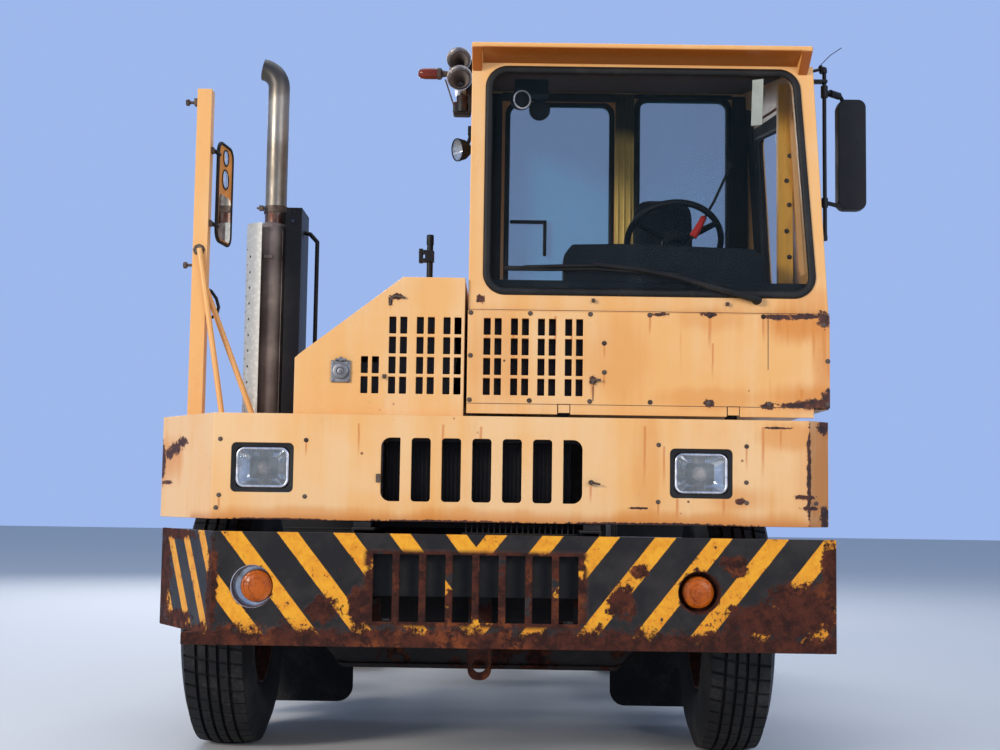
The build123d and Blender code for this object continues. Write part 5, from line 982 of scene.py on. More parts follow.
for x in (-35, 177, 391, 602, 815, 1006):
    bolt((x, PANEL_Y, 1660), FRONT, 6.5, 5)
for x in (-35, 177, 391, 605, 812, 1027, 1232):
    bolt((x, PANEL_Y, 1349), FRONT, 6.5, 5)
for x, z in ((1220, 1633), (1234, 1504), (-34, 1507), (441, 1557), (442, 1453)):
    bolt((x, PANEL_Y, z), FRONT, 6.5, 5)
make("panel_bolts", "bolt", "cab")

for x, z in (
    (-905, 1196), (-604, 1196), (-905, 1000), (-604, 999), (632, 1197), (940, 1196), (631, 998), (940, 999),
    (939, 1070), (1183, 1000), (-914, 956),
):
    bolt((x, COWL_Y, z), FRONT, 6, 4.5)
make("cowl_bolts", "bolt", "chassis")

# fine seams between the cab panel's sheets
box((1021.5, 128.6, 1470), (1023.5, 131, 1666), 0.5)
box((-44, 128.8, 1671), (1241, 131, 1673), 0.5)
box((-44, 128.8, 1336), (1241, 131, 1338), 0.5)
make("panel_seam", "bolt", "cab")


def latch(x, y, z, long, size):
    """A small pull latch with its plate."""
    box((x - size, y - 4, z - size), (x + size, y + 1, z + size), 2.0)
    lathe([(0, 12), (5, 12), (6, 10), (6, 0)], (x, y - 3, z), FRONT, 14)
    box((x - 4, y - 12, z - long), (x + 4, y - 7, z + 5), 1.5)


latch(402, 130, 1423, 14, 8)
tube([(402, 119, 1424), (430, 118, 1425)], 4.5, 8)
box((401, 128, 1352), (404, 131, 1405), 0.8)
latch(402, 150, 1712, 9, 6.5)
latch(881, 150, 1706, 9, 6.5)
make("cab_latches", "bolt", "cab")

tube([(-322, 127, 1706), (-304, 122, 1714), (-286, 122, 1712), (-268, 124, 1709)], 4.0, 8)
tube([(-318, 126, 1706), (-323, 125, 1694), (-321, 125, 1684)], 3.0, 8)
latch(-338, 130, 1428, 10, 7)
make("hood_latches", "bolt", "chassis")

lathe([(0, 22), (7, 22), (9, 18), (9, 0)], (396, 90, 1062), FRONT, 12)
tube([(396, 76, 1062), (414, 72, 1058), (428, 74, 1056)], 3.5, 8)
box((-356, 82, 1052), (-340, 91, 1082), 2.0)
make("cowl_latches", "bolt", "chassis")

# port plate on the hood
box((-528, 122, 1404), (-458, 131, 1482), 3.0)
lathe([(14, 10), (24, 10), (27, 8), (28, 0), (14, 0)], (-493, 122, 1444), FRONT, 36, closed=True)
for dx in (-26, 26):
    for dz in (-30, 30):
        bolt((-493 + dx, 122, 1443 + dz), FRONT, 4, 4)
tube([(-512, 116, 1484), (-472, 116, 1484)], 5, 10)
box((-498, 112, 1478), (-486, 122, 1494), 2.0)
make("port_plate", "zinc", "chassis")

lathe([(0, 9), (11, 9), (14, 7), (14, 0)], (-493, 124, 1444), FRONT, 24)
lathe([(0, 12), (4, 12), (5, 8)], (-493, 124, 1444), FRONT, 12)
make("port_socket", "zinc", "chassis")

# headlights: black bezel, bright ring, reflector, fluted lens
for name, x in (("right", -756.0), ("left", 782.0)):
    z = 1098.5
    outer = rounded_panel(x - 109, x + 109, z - 86, z + 86, 18)
    inner = rounded_panel(x - 94, x + 94, z - 72, z + 72, 22)
    rings = ((outer, 100.0), (outer, 92.0), (inner, 94.0), (inner, 130.0))
    skin([[(p.x, y, p.z) for p in loop] for loop, y in rings], last=True)
    make(f"headlight_bezel_{name}", "gasket", "chassis", ("headlights",) if name == "left" else ())
    ring = rounded_panel(x - 88, x + 88, z - 66, z + 66, 24)
    hoop(ring, 96.0, 5.5)
    make(f"headlight_ring_{name}", "chrome", "chassis")
    rings = []
    for k in range(11):
        t = k / 10
        share = 0.97 - 0.80 * t
        rings.append(drawn_in(ring, x, 99 + 42 * (1 - (1 - t) ** 2), z, share, share))
    skin(rings, last=True)
    make(f"headlight_bowl_{name}", "reflector", "chassis")
    lathe([(24, 0), (26, 6), (22, 24), (14, 34), (0, 37)], (x, 140, z), FRONT, 28)
    make(f"headlight_bulb_{name}", "muffler", "chassis")
    rings = []
    for k in range(5):
        t = k / 4
        share = 0.97 - 0.95 * t
        rings.append(drawn_in(ring, x, 93.5 - 5.5 * (1 - (1 - t) ** 2), z, share, share))
    skin(rings, last=True)
    make(f"headlight_lens_{name}", "clear", "chassis")

# round bumper lamps
for name, x, turn in (("right", -764.0, 10.0), ("left", 766.0, -2.0)):
    lathe([(80, 10), (80, 64), (77, 68), (72, 68), (70, 62), (66, 12), (0, 8)], (x, 70, 690), FRONT, 48)
    make(f"lamp_cup_{name}", "lamp_cup" if name == "right" else "black_rusty", "chassis",
        ("bumper_lamps",) if name == "left" else ())
    lathe([(56, 10), (56, 34), (53, 42), (44, 46), (42, 44), (28, 48), (26, 46), (0, 49)],
        (x + turn, 70, 690), FRONT, 48)
    make(f"lamp_lens_{name}", "amber", "chassis")

# radiator with upright fins behind the slots
box((-330, 245, 914), (330, 335, 1268), 4.0)
for n in range(44):
    x = -322 + n * 15
    box((x - 1.6, 236, 918), (x + 1.6, 248, 1264), 0.0)
box((-330, 235, 1255), (330, 246, 1268), 2.0)
box((-330, 235, 914), (330, 246, 928), 2.0)
box((-432, 245, 894), (432, 325, 915), 2.0)
box((-355, 386, 556), (355, 413, 869), 2.0)
for n in range(34):
    x = -346 + n * 21
    box((x - 1.5, 384.2, 562), (x + 1.5, 388, 864), 0.0)
box((-300, 392, 526), (300, 410, 558), 3.0)
make("radiator_core", "core", "chassis", ("radiator",))

for n in range(20):
    x = -40 + n * 20
    box((x - 3, 150, 878), (x + 3, 156, 912), 1.0)
box((-55, 148, 872), (355, 160, 880), 2.0)
make("lower_fins", "black_clean", "chassis")

# a near-black sheet behind the hood's slots as painted shade, and thin covers over the sill's notches that
# stop short of the tilt legs
box((-470, 152, 1340), (-68, 156, 1480), 1.0)
box((-366, 152, 1480), (-68, 156, 1672), 1.0)
make("hood_slot_shade", "core", "chassis")

for x in (300, 900):
    box((x - 19.9, 130.1, 1307.0), (x + 19.9, 130.9, 1336.9), 0.3)
make("leg_covers", "enamel", "cab")

# Exhaust

CAN_X, STACK_X, Y = -905.0, -896.0, 1110.0
lathe([(60, 1289), (66, 1291), (66, 2128), (62, 2140), (50, 2150), (47, 2152)], (CAN_X, Y, 0), UP, 40)
make("muffler_can", "muffler", "chassis", ("exhaust",))

path = [(STACK_X, Y, z) for z in (2145, 2300, 2500, 2660, 2742)]
bend, bend_angle = 80.0, radians(80)
for k in range(1, 13):
    a = bend_angle * k / 12
    path.append((STACK_X - bend + bend * cos(a), Y, 2742 + bend * sin(a)))
tube(path, 45.6, 40, ends=False)
tube(list(reversed(path[4:])), 43.0, 40, ends=False)
lathe([(43.0, 0.0), (45.6, 0.0)], path[-1], (-sin(bend_angle), 0.0, cos(bend_angle)), 40)
make("stack_pipe", "stack", "chassis")

lathe([(47, 2195), (50, 2195), (50, 2225), (47, 2225)], (STACK_X, Y, 0), UP, 40, closed=True)
box((STACK_X - 62, Y - 60, 2199), (STACK_X - 44, Y - 40, 2221), 2.0)
tube([(STACK_X - 72, Y - 50, 2210), (STACK_X - 40, Y - 50, 2210)], 5, 8)
make("stack_clamp", "bolt", "chassis")

# bands and seams on the muffler
for a in (200, 262, 318):
    x, y = CAN_X + 65 * cos(radians(a)), Y + 65 * sin(radians(a))
    tube([(x, y, 1300), (x, y, 2120)], 2.6, 6)
lathe([(66, 1990), (67.5, 1990), (67.5, 2012), (66, 2012)], (CAN_X, Y, 0), UP, 40, closed=True)
box((-930, Y - 74, 1994), (-892, Y - 62, 2008), 2.0)
make("muffler_seams", "muffler", "chassis")


# Windscreen surround, wiper and the cab's small parts

screen = rounded_loop([(19, 0, 1742), (1189, 0, 1742), (1126, 0, 2552), (19, 0, 2552)], 66, 12)
hoop(screen, 150.0, 14.0, 14, 0.75)
make("screen_gasket", "gasket", "cab")

loop = rounded_panel(659, 1067, 2004, 2789, 50)
hoop(loop, 1396.0, 12.0, flat=0.5)
hoop(loop, 1362.0, 14.0)
make("rear_gaskets", "gasket", "cab")

loop = rounded_panel(84, 552, 1894, 2772, 50)
hoop(loop, 1411.5, 12.0, flat=0.4)
hoop(loop, 1433.0, 12.0, flat=0.5)
make("rear_door_gasket", "gasket", "rear_door")

y = 131.0
tube([(83, y + 3, 1822), (240, y + 1, 1822), (398, y, 1826), (560, y + 1, 1817), (709, y + 3, 1803)], 9.0,
    8)
tube([(150, y - 6, 1827), (290, y - 11, 1832), (420, y - 13, 1835), (560, y - 10, 1826),
    (640, y - 6, 1812)], 6.5, 8, flat=0.6)
tube([(700, y - 9, 1796), (820, y - 11, 1762), (930, y - 9, 1734), (985, y - 4, 1722)],
    lambda t: 8.0 + 6.0 * t, 8)
tube([(400, y - 13, 1838), (560, y - 15, 1822), (700, y - 9, 1796)], 8.0, 8)
lathe([(0, 26), (12, 26), (16, 20), (17, 0)], (985, 148, 1721), FRONT, 20)
bolt((985, 122, 1721), FRONT, 7, 6)
make("wiper_set", "gasket", "cab", ("wiper",))

# horns, beacon and work lamp
for x, z, y, grow in ((-97, 2618, 252, 1.0), (-92, 2535, 207, 1.02)):
    bell = [(45, 0), (46, -2), (44, -1), (36, 12), (26, 40), (18, 90), (13, 150), (13, 175), (22, 180),
        (22, 212), (0, 214)]
    inside = [(44, 0.5), (34, 14), (23, 44), (13, 95), (0, 130)]
    lathe([(r * grow, h) for r, h in bell], (x, y, z), BACK, 40)
    lathe([(r * grow, h) for r, h in inside], (x, y, z), BACK, 40)
make("horn_bells", "chrome", "cab", ("horns",))

box((-120, 320, 2430), (-52, 380, 2480), 10.0)
tube([(-85, 330, 2500), (-85, 330, 2440)], 22, 16)
box((-72, 320, 2440), (-46, 345, 2640), 3.0)
make("horn_bracket", "cast", "cab")

lathe([(33, 15), (22, 43), (12, 94), (0, 98)], (-97, 252, 2618), BACK, 32)
lathe([(34, 15), (23, 43), (12, 94), (0, 98)], (-92, 207, 2535), BACK, 32)
make("horn_throats", "muffler", "cab")

lathe([(0, 78), (10, 76), (18, 68), (21, 50), (21, 10), (16, 0)], (-176, 350, 2591), RIGHT, 32)
make("beacon_lens", "beacon", "cab", ("cab_lamps",))

lathe([(22, -4), (22, 10), (13, 16), (9, 40), (9, 50)], (-177, 350, 2591), LEFT, 24)
box((-136, 338, 2560), (-124, 362, 2640), 3.0)
tube([(-150, 340, 2566), (-118, 334, 2470), (-100, 332, 2440)], 3.0, 8)
make("beacon_stem", "bolt", "cab")

work_lamp, lamp_turn = (-82, 318, 2294), (-0.85, -0.5, -0.15)
lathe([(0, -34), (20, -30), (36, -10), (42, 14), (43, 16), (43, 22), (40, 22)], work_lamp, lamp_turn, 32)
tube([(-60, 318, 2320), (-50, 326, 2352), (-44, 330, 2370)], 7, 10)
box((-62, 310, 2350), (-44, 350, 2384), 4.0)
make("work_lamp_case", "plastic", "cab")

lathe([(39, 18), (28, 7), (12, -10), (0, -12)], work_lamp, lamp_turn, 32)
make("work_lamp_bowl", "reflector", "cab")

lathe([(40, 20), (20, 25), (0, 26)], work_lamp, lamp_turn, 32)
make("work_lamp_lens", "clear", "cab")

# hood mast with its clamp
lathe([(13, 1965), (14, 1968), (14, 2000), (12, 2004), (0, 2005)], (-204, 500, 0), UP, 20)
box((-232, 482, 1898), (-192, 518, 1912), 3.0)
box((-232, 482, 1930), (-192, 518, 1944), 3.0)
lathe([(0, 0), (11, 0), (13, 6), (11, 14), (0, 16)], (-232, 500, 1938), RIGHT, 8)
lathe([(0, 0), (10, 0), (12, 6), (10, 12), (0, 14)], (-232, 500, 1905), RIGHT, 8)
box((-246, 488, 1895), (-230, 512, 1950), 3.0)
make("mast_clamp", "black_clean", "chassis")

# Mirrors

head = rounded_panel(1317, 1423, 2089, 2507, 30, 10)
layers = (
    (0.84, 385.5, 0.94), (0.97, 380.0, 0.985), (1.0, 355.0, 1.0), (1.0, 330.0, 1.0), (0.96, 319.0, 0.99),
    (0.88, 317.5, 0.97),
)
skin([drawn_in(head, 1370, y, 2298, wide, tall) for wide, y, tall in layers], True, True)
make("left_mirror_case", "plastic", "cab", ("left_mirror",))

prism(drawn_in(head, 1370, 386.0, 2298, 0.78, 0.92), BACK)
make("left_mirror_glass", "mirror", "cab")

tube([(1255, 262, 1960), (1254, 262, 2300), (1254, 262, 2596)], 7.5, 14)
tube([(1254, 262, 2517), (1290, 285, 2516), (1326, 316, 2512), (1340, 335, 2500)], 8.0, 10)
tube([(1278, 278, 2516), (1318, 308, 2514)], 14.0, 12)
tube([(1254, 262, 2102), (1300, 292, 2099), (1330, 318, 2092), (1342, 335, 2100)], 8.0, 10)
tube([(1254, 262, 2494), (1254, 262, 2538)], 13.0, 12)
tube([(1254, 262, 2084), (1254, 262, 2118)], 12.0, 12)
box((1203, 247, 2548), (1264, 277, 2560), 3.0)
box((1196, 242, 2544), (1208, 286, 2600), 3.0)
tube([(1204, 262, 2592), (1236, 262, 2600), (1256, 262, 2592)], 6.0, 10)
lathe([(0, 0), (13, 0), (15, 6), (13, 20), (7, 24), (0, 24)], (1250, 262, 2586), UP, 16)
box((1226, 250, 1960), (1262, 274, 1980), 3.0)
tube([(1241, 262, 2618), (1278, 262, 2656), (1319, 262, 2684)], 1.6, 6)
bolt((1241, 262, 2608), UP, 7, 8)
make("left_mirror_arms", "black_clean", "cab")


MIRROR_TURN = radians(-7.0)
TURN_X, TURN_Y = cos(MIRROR_TURN), sin(MIRROR_TURN)
MIRROR_OUT = (TURN_X, TURN_Y, 0)


def mirror_at(along, out, z):
    """A place on the right mirror: along its width, out from its glass side, and a height."""
    return (-1049 + out * TURN_X - along * TURN_Y, 760 + out * TURN_Y + along * TURN_X, z)


def mirror_plate(low, high, half, radius, out, thick):
    loop = rounded_panel(-half, half, low, high, radius, 6)
    prism([mirror_at(p.x, out, p.z) for p in loop], (thick * TURN_X, thick * TURN_Y, 0))


ring = rounded_panel(-90, 90, 2005, 2401, 42)
tube([mirror_at(p.x, 0.0, p.z) for p in ring], 7.0, 12, closed=True, up=LEFT)
mirror_plate(2004, 2402, 90, 42, -5.0, 3.0)
for z in (2060, 2350):
    tube([(-1110, 620, z), (-1078, 620, z), (-1066, 632, z), (-1062, 652, z), (-1060, 690, z)], 8.5, 12)
make("right_mirror_frame", "gasket", "chassis", ("right_mirror",))

mirror_plate(2010, 2396, 85, 38, -1.0, 2.5)
make("right_mirror_plate", "amber_plate", "chassis")

mirror_plate(2016, 2196, 76, 26, 2.2, 1.6)
for z, wide in ((2352, 31), (2264, 38)):
    lathe([(0, 6), (wide - 9, 4), (wide, 0), (wide, -1)], mirror_at(0, 2.2, z), MIRROR_OUT, 32)
make("right_mirror_glass", "mirror", "chassis")

for z, wide in ((2352, 34), (2264, 41)):
    lathe([(wide - 4, 1), (wide - 4, 4), (wide, 4), (wide, 1)], mirror_at(0, 1.0, z), MIRROR_OUT, 32,
        closed=True)
make("right_mirror_rims", "gasket", "chassis")

for z in (2060, 2350):
    box((-1080, 606, z - 12), (-1066, 634, z + 12), 3.0)
box((-1150, 606, 2528), (-1134, 640, 2556), 3.0)
tube([(-1176, 618, 2540), (-1140, 618, 2540)], 6, 10)
lathe([(0, 0), (12, 0), (14, 6), (12, 14), (0, 16)], (-1168, 618, 2540), RIGHT, 8)
tube([(-1166, 618, 1893), (-1132, 618, 1893)], 6, 10)
lathe([(0, 0), (12, 0), (14, 6), (12, 14), (0, 16)], (-1158, 618, 1893), RIGHT, 8)
lathe([(0, 12), (16, 12), (22, 6), (24, 0), (0, 0)], (-1108, 592, 1950), FRONT, 8)
make("right_post_fittings", "bolt", "chassis")

hose = [
    (-1086, 640, 1806), (-1066, 644, 1796), (-1046, 648, 1768), (-1036, 650, 1734), (-1042, 650, 1708),
    (-1058, 648, 1694), (-1078, 644, 1690),
]
tube(hose, 6.5, 10)
make("post_hose", "gasket", "chassis")


# Inside the cab

prism([(1119, 450, 1790), (1174, 450, 1790), (1172, 450, 2600), (1119, 450, 2600)], (0, 42, 0))
make("door_post", "door_post", "cab")

for x, z in ((1162, 2320), (1150, 2223), (1160, 2130), (1150, 2029), (1160, 1930)):
    bolt((x, 450, z), FRONT, 7, 5)
make("door_post_bolts", "bolt", "cab")

# column between the rear windows, with ribs
prism([(562, 1350, 1400), (645, 1350, 1400), (645, 1350, 2804), (562, 1350, 2804)], (0, 12, 0))
for x in (576, 603, 630):
    tube([(x, 1349, 1420), (x, 1349, 2790)], 5.0, 8)
make("rear_column", "column", "cab")

# dark linings on the rear wall, the floor and the left wall: dark sheets as painted shade inside the cab
for low, high in (
    ((-4, 1352, 1364), (60, 1361, 2800)), ((648, 1352, 1364), (1150, 1361, 1996)),
    ((1080, 1352, 1996), (1150, 1361, 2800)), ((60, 1352, 2768), (562, 1361, 2806)),
    ((645, 1352, 2786), (1080, 1361, 2806)),
):
    box(low, high, 2.0)
box((-4, 192, 1363), (1196, 1358, 1369), 2.0)
make("cab_shade_linings", "lining", "cab")

# a near-black sheet inside the intake recess: painted shade
box((8, 172, 1364), (370, 179, 1646), 1.0)
make("intake_recess_shade", "core", "cab")


def door_inner_x(z):
    """The side door's inner face, which leans in above the waist."""
    return 1207.0 - 54.0 / 920.0 * max(0.0, z - 1680.0)


# the side door's dark lining about its window and through its jamb, painted shade, and the window's inner
# gasket
edge = rounded_loop([(552, 0, 1402), (1208, 0, 1402), (1208, 0, 2612), (552, 0, 2524)], 20, 8)
hole = rounded_loop([(604, 0, 1854), (1156, 0, 1854), (1156, 0, 2556), (604, 0, 2468)], 44, 8)
rings = ((edge, 0.0), (edge, 4.0), (hole, 4.0), (hole, -24.0))
skin([[(door_inner_x(p.z) - inward, p.x, p.z) for p in loop] for loop, inward in rings])
make("side_door_shade_lining", "lining", "side_door")

tube([(door_inner_x(p.z) - 2, p.x, p.z) for p in hole], 9.0, 10, closed=True, up=LEFT)
make("side_door_gasket", "gasket", "side_door")

# dark sheets on the left wall behind the door: painted shade
prism([(door_inner_x(z) - 6, y, z) for y, z in ((1216, 1402), (1350, 1402), (1350, 1680), (1216, 1680))],
    (3, 0, 0))
prism([(door_inner_x(z) - 6, y, z) for y, z in ((1216, 1680), (1350, 1680), (1350, 2740), (1216, 2700))],
    (3, 0, 0))
make("side_wall_shade_lining", "lining", "cab")

# seat: base, cushion, backrest
box((610, 960, 1365), (910, 1240, 1420), 8.0)
for n in range(9):
    z = 1425 + n * 17
    box((640 - (n % 2) * 8, 985 - (n % 2) * 8, z), (880 + (n % 2) * 8, 1215 + (n % 2) * 8, z + 15), 6.0)
box((600, 950, 1580), (920, 1250, 1640), 10.0)
make("seat_base", "plastic", "cab")


def puffed(mesh, cap):
    """A closed pad blown up a little by cloth pressure, no point moved by more than the cap in metres."""
    obj = bpy.data.objects.new("pad_source", mesh)
    SCENE.collection.objects.link(obj)
    remesh = obj.modifiers.new("remesh", "REMESH")
    remesh.mode = "VOXEL"
    remesh.voxel_size = 0.006
    pad = bpy.data.meshes.new_from_object(obj.evaluated_get(bpy.context.evaluated_depsgraph_get()))
    obj.modifiers.clear()
    obj.data = pad
    rest = [v.co.copy() for v in pad.vertices]
    blown = obj.modifiers.new("pressure", "CLOTH")
    blown.settings.use_pressure = True
    blown.settings.uniform_pressure_force = 4.0
    blown.settings.effector_weights.gravity = 0.0
    for number in range(1, 21):
        SCENE.frame_set(number)
    made = bpy.data.meshes.new_from_object(obj.evaluated_get(bpy.context.evaluated_depsgraph_get()))
    for v, start in zip(made.vertices, rest):
        move = v.co - start
        if move.length > cap:
            v.co = start + move.normalized() * cap
    SCENE.frame_set(1)
    bpy.data.objects.remove(obj)
    return made


def cushion(name, centre, size, turn, channels, stands_for=()):
    """A crowned pad, blown up as cloth, then drawn in along its sewn channels and its side seam."""
    half = Vector([s / 2000 for s in size])
    n = 26
    verts, faces = [], []
    for axis in range(3):
        for sign in (-1.0, 1.0):
            base = len(verts)
            for i in range(n + 1):
                for j in range(n + 1):
                    p = [0.0, 0.0, 0.0]
                    p[axis] = sign
                    p[(axis + 1) % 3] = -1 + 2 * i / n
                    p[(axis + 2) % 3] = -1 + 2 * j / n
                    v = Vector(p) / sum(abs(c) ** 5.0 for c in p) ** 0.2
                    dome = 1.0 + 0.10 * (1 - v.x ** 2) * (1 - v.y ** 2)
                    verts.append((v.x * half.x, v.y * half.y, v.z * half.z * dome))
            for i in range(n):
                for j in range(n):
                    q = base + i * (n + 1) + j
                    faces.append((q, q + 1, q + n + 2, q + n + 1))
    mesh = bpy.data.meshes.new(name)
    mesh.from_pydata(verts, [], faces)
    bm = bmesh.new()
    bm.from_mesh(mesh)
    bmesh.ops.remove_doubles(bm, verts=bm.verts[:], dist=1e-5)
    bmesh.ops.recalc_face_normals(bm, faces=bm.faces[:])
    bm.to_mesh(mesh)
    bm.free()
    mesh = puffed(mesh, 0.010)
    spin = Matrix.Rotation(radians(turn), 4, "X")
    middle = at(*centre)
    for v in mesh.vertices:
        p = v.co
        groove = sum(0.055 * exp(-((p.x / half.x - c) / 0.035) ** 2) for c in channels)
        seam = 0.04 * exp(-((abs(p.z) / half.z - 0.05) / 0.06) ** 2)
        v.co = spin @ Vector((p.x * (1 - seam), p.y * (1 - seam), p.z * (1 - groove))) + middle
    mesh.shade_smooth()
    obj = piece(name, mesh, "cloth", "cab", stands_for, False)
    soft = obj.modifiers.new("soft", "SUBSURF")
    soft.levels = 1
    soft.render_levels = 1


cushion("seat_cushion", (765, 1085, 1700), (434, 394, 116), 3, (-0.45, 0.45), ("driver_seat",))
cushion("seat_backrest", (765, 1262, 2040), (276, 556, 92), 84, (-0.5, 0.0, 0.5))

# steering wheel: thick rim, three spokes, horn pad
axis = Vector((0.0, 255.0, 250.0)).normalized()
centre = Vector((750.0, 690.0, 2024.3))
side = Vector((1.0, 0.0, 0.0))
up = axis.cross(side)
rim, steps = 185, 64
turns = [2 * pi * k / steps for k in range(steps)]
tube([centre + side * rim * cos(a) + up * rim * sin(a) for a in turns], 12.8, 14, closed=True, up=axis)
for angle in (90, 210, 330):
    a = radians(angle)
    out = side * cos(a) + up * sin(a)
    spoke = [centre + out * 30 - axis * 10, centre + out * 110 - axis * 4, centre + out * 182]
    tube(spoke, lambda t: 20 - 7 * t, 12, flat=0.35, up=axis)
lathe([(0, 22), (30, 21), (46, 14), (50, 0), (48, -18), (30, -26)], centre, axis, 40)
make("steering_wheel_rim", "plastic", "steering_wheel", ("steering_wheel",))

# column shroud, levers, vents
tube([(750, 560, 1896), (750, 600, 1936), (750, 650, 1985)], lambda t: 46 - 8 * t, 20)
tube([(775, 640, 1975), (834, 640, 2060), (902, 645, 2180), (964, 650, 2318)], 5.5, 10)
lathe([(0, 14), (8, 13), (12, 5), (12, -5), (8, -12), (0, -13)], (966, 650, 2326), UP, 16)
make("column_parts", "plastic", "cab")

tube([(818, 636, 2036), (842, 636, 2078), (862, 636, 2116)], lambda t: 16 - 4 * t, 12)
make("lever_grip", "red_plastic", "cab")

fan, fan_turn = (138, 380, 2505), (0.4, -1, -0.2)
for place, facing in ((fan, fan_turn), ((203, 400, 2470), (-0.3, -1, -0.3))):
    lathe([(0, 4), (30, 4), (38, 0), (40, -6), (38, -26), (0, -30)], place, facing, 28)
box((110, 390, 2530), (240, 470, 2590), 8.0)
make("cab_fan", "plastic", "cab")

lathe([(30, 5), (33, 6), (36, 5), (36, 1), (30, 1)], fan, fan_turn, 28, closed=True)
make("cab_fan_ring", "chrome", "cab")

box((100, 1395, 2224), (264, 1408, 2240), 3.0)
box((248, 1395, 2080), (264, 1408, 2240), 3.0)
make("rear_guard_rail", "black_clean", "cab")

prism([(968, 166, 2360), (1008, 166, 2366), (1013, 166, 2535), (973, 166, 2529)], (0, 1.0, 0))
make("blank_sticker", "label", "cab")

# a dark brown lining on the roof and the rear wall's top, as painted shade
prism([(-5, 192, 2574), (1140, 192, 2574), (1125, 1358, 2812), (-5, 1358, 2812)], (0, 0, 8))
make("headliner_shade_sheet", "inside", "cab")


# Deck, tanks and rear

for x in (-522.0, -402.0, 402.0, 522.0):
    lathe([(54, 0), (54, 16), (50, 20), (48, 20)], (x, 4732, 702), BACK, 32)
make("tail_lamp_cases", "plastic", "chassis")

for x in (-522.0, -402.0, 402.0, 522.0):
    lathe([(48, 18), (44, 28), (30, 31), (0, 32)], (x, 4732, 702), BACK, 32)
make("tail_lamp_lenses", "red", "chassis", ("tail_lamps",))

outline = rounded_panel(460, 1134, 456, 894, 94)
for y in (2590.0, 3210.0, 2890.0):
    hoop(outline, y, 5.0, 6, 4.0)
lathe([(0, 40), (44, 40), (48, 34), (48, 6), (40, 0)], (1030, 2520, 884), UP, 24)
make("tank_fittings", "zinc", "chassis")

# lid seam, ribs and latches of the battery box
low, high = [(corner - SHIFT) * 1000 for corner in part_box("battery_box")]
lid = high.z - 62
for a, b in (
    ((low.x - 4, low.y - 4, lid), (low.x + 3, high.y + 4, lid + 9)),
    ((low.x - 4, low.y - 4, lid), (high.x - 20, low.y + 3, lid + 9)),
    ((low.x - 4, high.y - 3, lid), (high.x - 20, high.y + 4, lid + 9)),
):
    box(a, b, 2.0)
for k in range(5):
    y = low.y + (high.y - low.y) * (k + 0.5) / 5
    box((low.x - 3, y - 14, low.z + 24), (low.x + 2, y + 14, lid - 26), 2.5)
for share in (0.25, 0.75):
    y = low.y + (high.y - low.y) * share
    box((low.x - 10, y - 16, lid - 46), (low.x + 1, y + 16, lid - 8), 3.0)
    tube([(low.x - 9, y - 10, lid - 12), (low.x - 9, y - 10, lid + 24), (low.x - 9, y + 10, lid + 24),
        (low.x - 9, y + 10, lid - 12)], 3.0, 8)
make("battery_trim", "black_clean", "chassis")


# Camera, floor and light

CAMERA_AT = (97.0, -5100.0, 990.0)
FOCAL = 1480.0
YAW, PITCH, ROLL = radians(-0.27), radians(4.9), radians(0.85)
forward = Vector((sin(YAW) * cos(PITCH), cos(YAW) * cos(PITCH), sin(PITCH)))
right0 = forward.cross(Vector(UP)).normalized()
up0 = right0.cross(forward)
right = right0 * cos(ROLL) + up0 * sin(ROLL)
up = -right0 * sin(ROLL) + up0 * cos(ROLL)
turn = Matrix((right, up, -forward)).transposed().to_4x4()
data = bpy.data.cameras.new("camera")
data.sensor_width = 36.0
data.lens = FOCAL / 1000 * 36.0
data.clip_end = 100.0
camera = bpy.data.objects.new("camera", data)
camera.matrix_world = Matrix.Translation(at(*CAMERA_AT)) @ turn
SCENE.collection.objects.link(camera)
SCENE.camera = camera

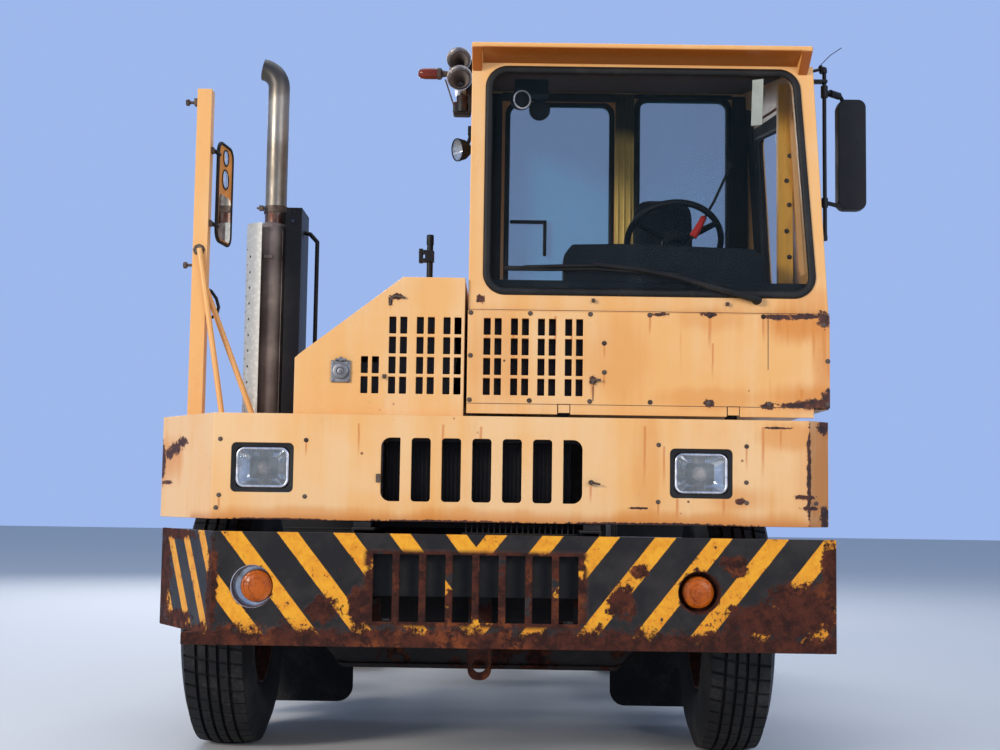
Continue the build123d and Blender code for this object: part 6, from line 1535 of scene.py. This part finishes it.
floor_mesh = bpy.data.meshes.new("floor")
reach = 40.0
floor_mesh.from_pydata([(-reach, -reach, 0), (reach, -reach, 0), (reach, reach, 0), (-reach, reach, 0)], [],
    [(0, 1, 2, 3)])
floor = bpy.data.objects.new("floor", floor_mesh)
SCENE.collection.objects.link(floor)
s = Shader("floor", rough=0.85)
s.color((0.62, 0.63, 0.645))
floor_mesh.materials.append(s.material)

SKY_LIGHT = (0.48, 0.66, 1.0, 1.0)
SKY_SEEN = (0.34, 0.48, 0.84, 1.0)
world = bpy.data.worlds.new("studio")
world.use_nodes = True
nodes, links = world.node_tree.nodes, world.node_tree.links
around, seen = nodes["Background"], nodes.new("ShaderNodeBackground")
around.inputs[0].default_value = SKY_LIGHT
around.inputs[1].default_value = 0.54
seen.inputs[0].default_value = SKY_SEEN
rays = nodes.new("ShaderNodeLightPath")
direct = rays.outputs["Is Camera Ray"]
for kind in ("Is Glossy Ray", "Is Transmission Ray"):
    most = nodes.new("ShaderNodeMath")
    most.operation = "MAXIMUM"
    links.new(direct, most.inputs[0])
    links.new(rays.outputs[kind], most.inputs[1])
    direct = most.outputs[0]
backdrop = nodes.new("ShaderNodeMixShader")
for socket, source in zip(backdrop.inputs, (direct, around.outputs[0], seen.outputs[0])):
    links.new(source, socket)
links.new(backdrop.outputs[0], nodes["World Output"].inputs[0])
SCENE.world = world


def area(name, place, target, size, power, color=(1.0, 1.0, 1.0)):
    light = bpy.data.lights.new(name, "AREA")
    light.shape = "RECTANGLE"
    light.size, light.size_y = size
    light.energy = power
    light.color = color
    obj = bpy.data.objects.new(name, light)
    obj.location = Vector(place)
    obj.rotation_euler = (Vector(target) - Vector(place)).to_track_quat("-Z", "Y").to_euler()
    SCENE.collection.objects.link(obj)


area("key", (-12.5, -14.5, 6.2), (0.0, -1.5, 1.2), (4.0, 4.0), 2550, (1.0, 0.92, 0.81))
area("fill", (6.0, -10.0, 4.0), (0.0, 0.0, 1.0), (6.0, 4.0), 330, (1.0, 0.96, 0.90))
area("top", (0.0, 0.0, 9.0), (0.0, 0.0, 0.0), (8.0, 8.0), 320)
area("back", (-3.0, 9.0, 6.0), (0.0, 1.0, 1.0), (5.0, 4.0), 420)
SCENE.view_settings.view_transform = "Standard"


def corners(bounds):
    return [list(map(float, corner)) for corner in bounds]
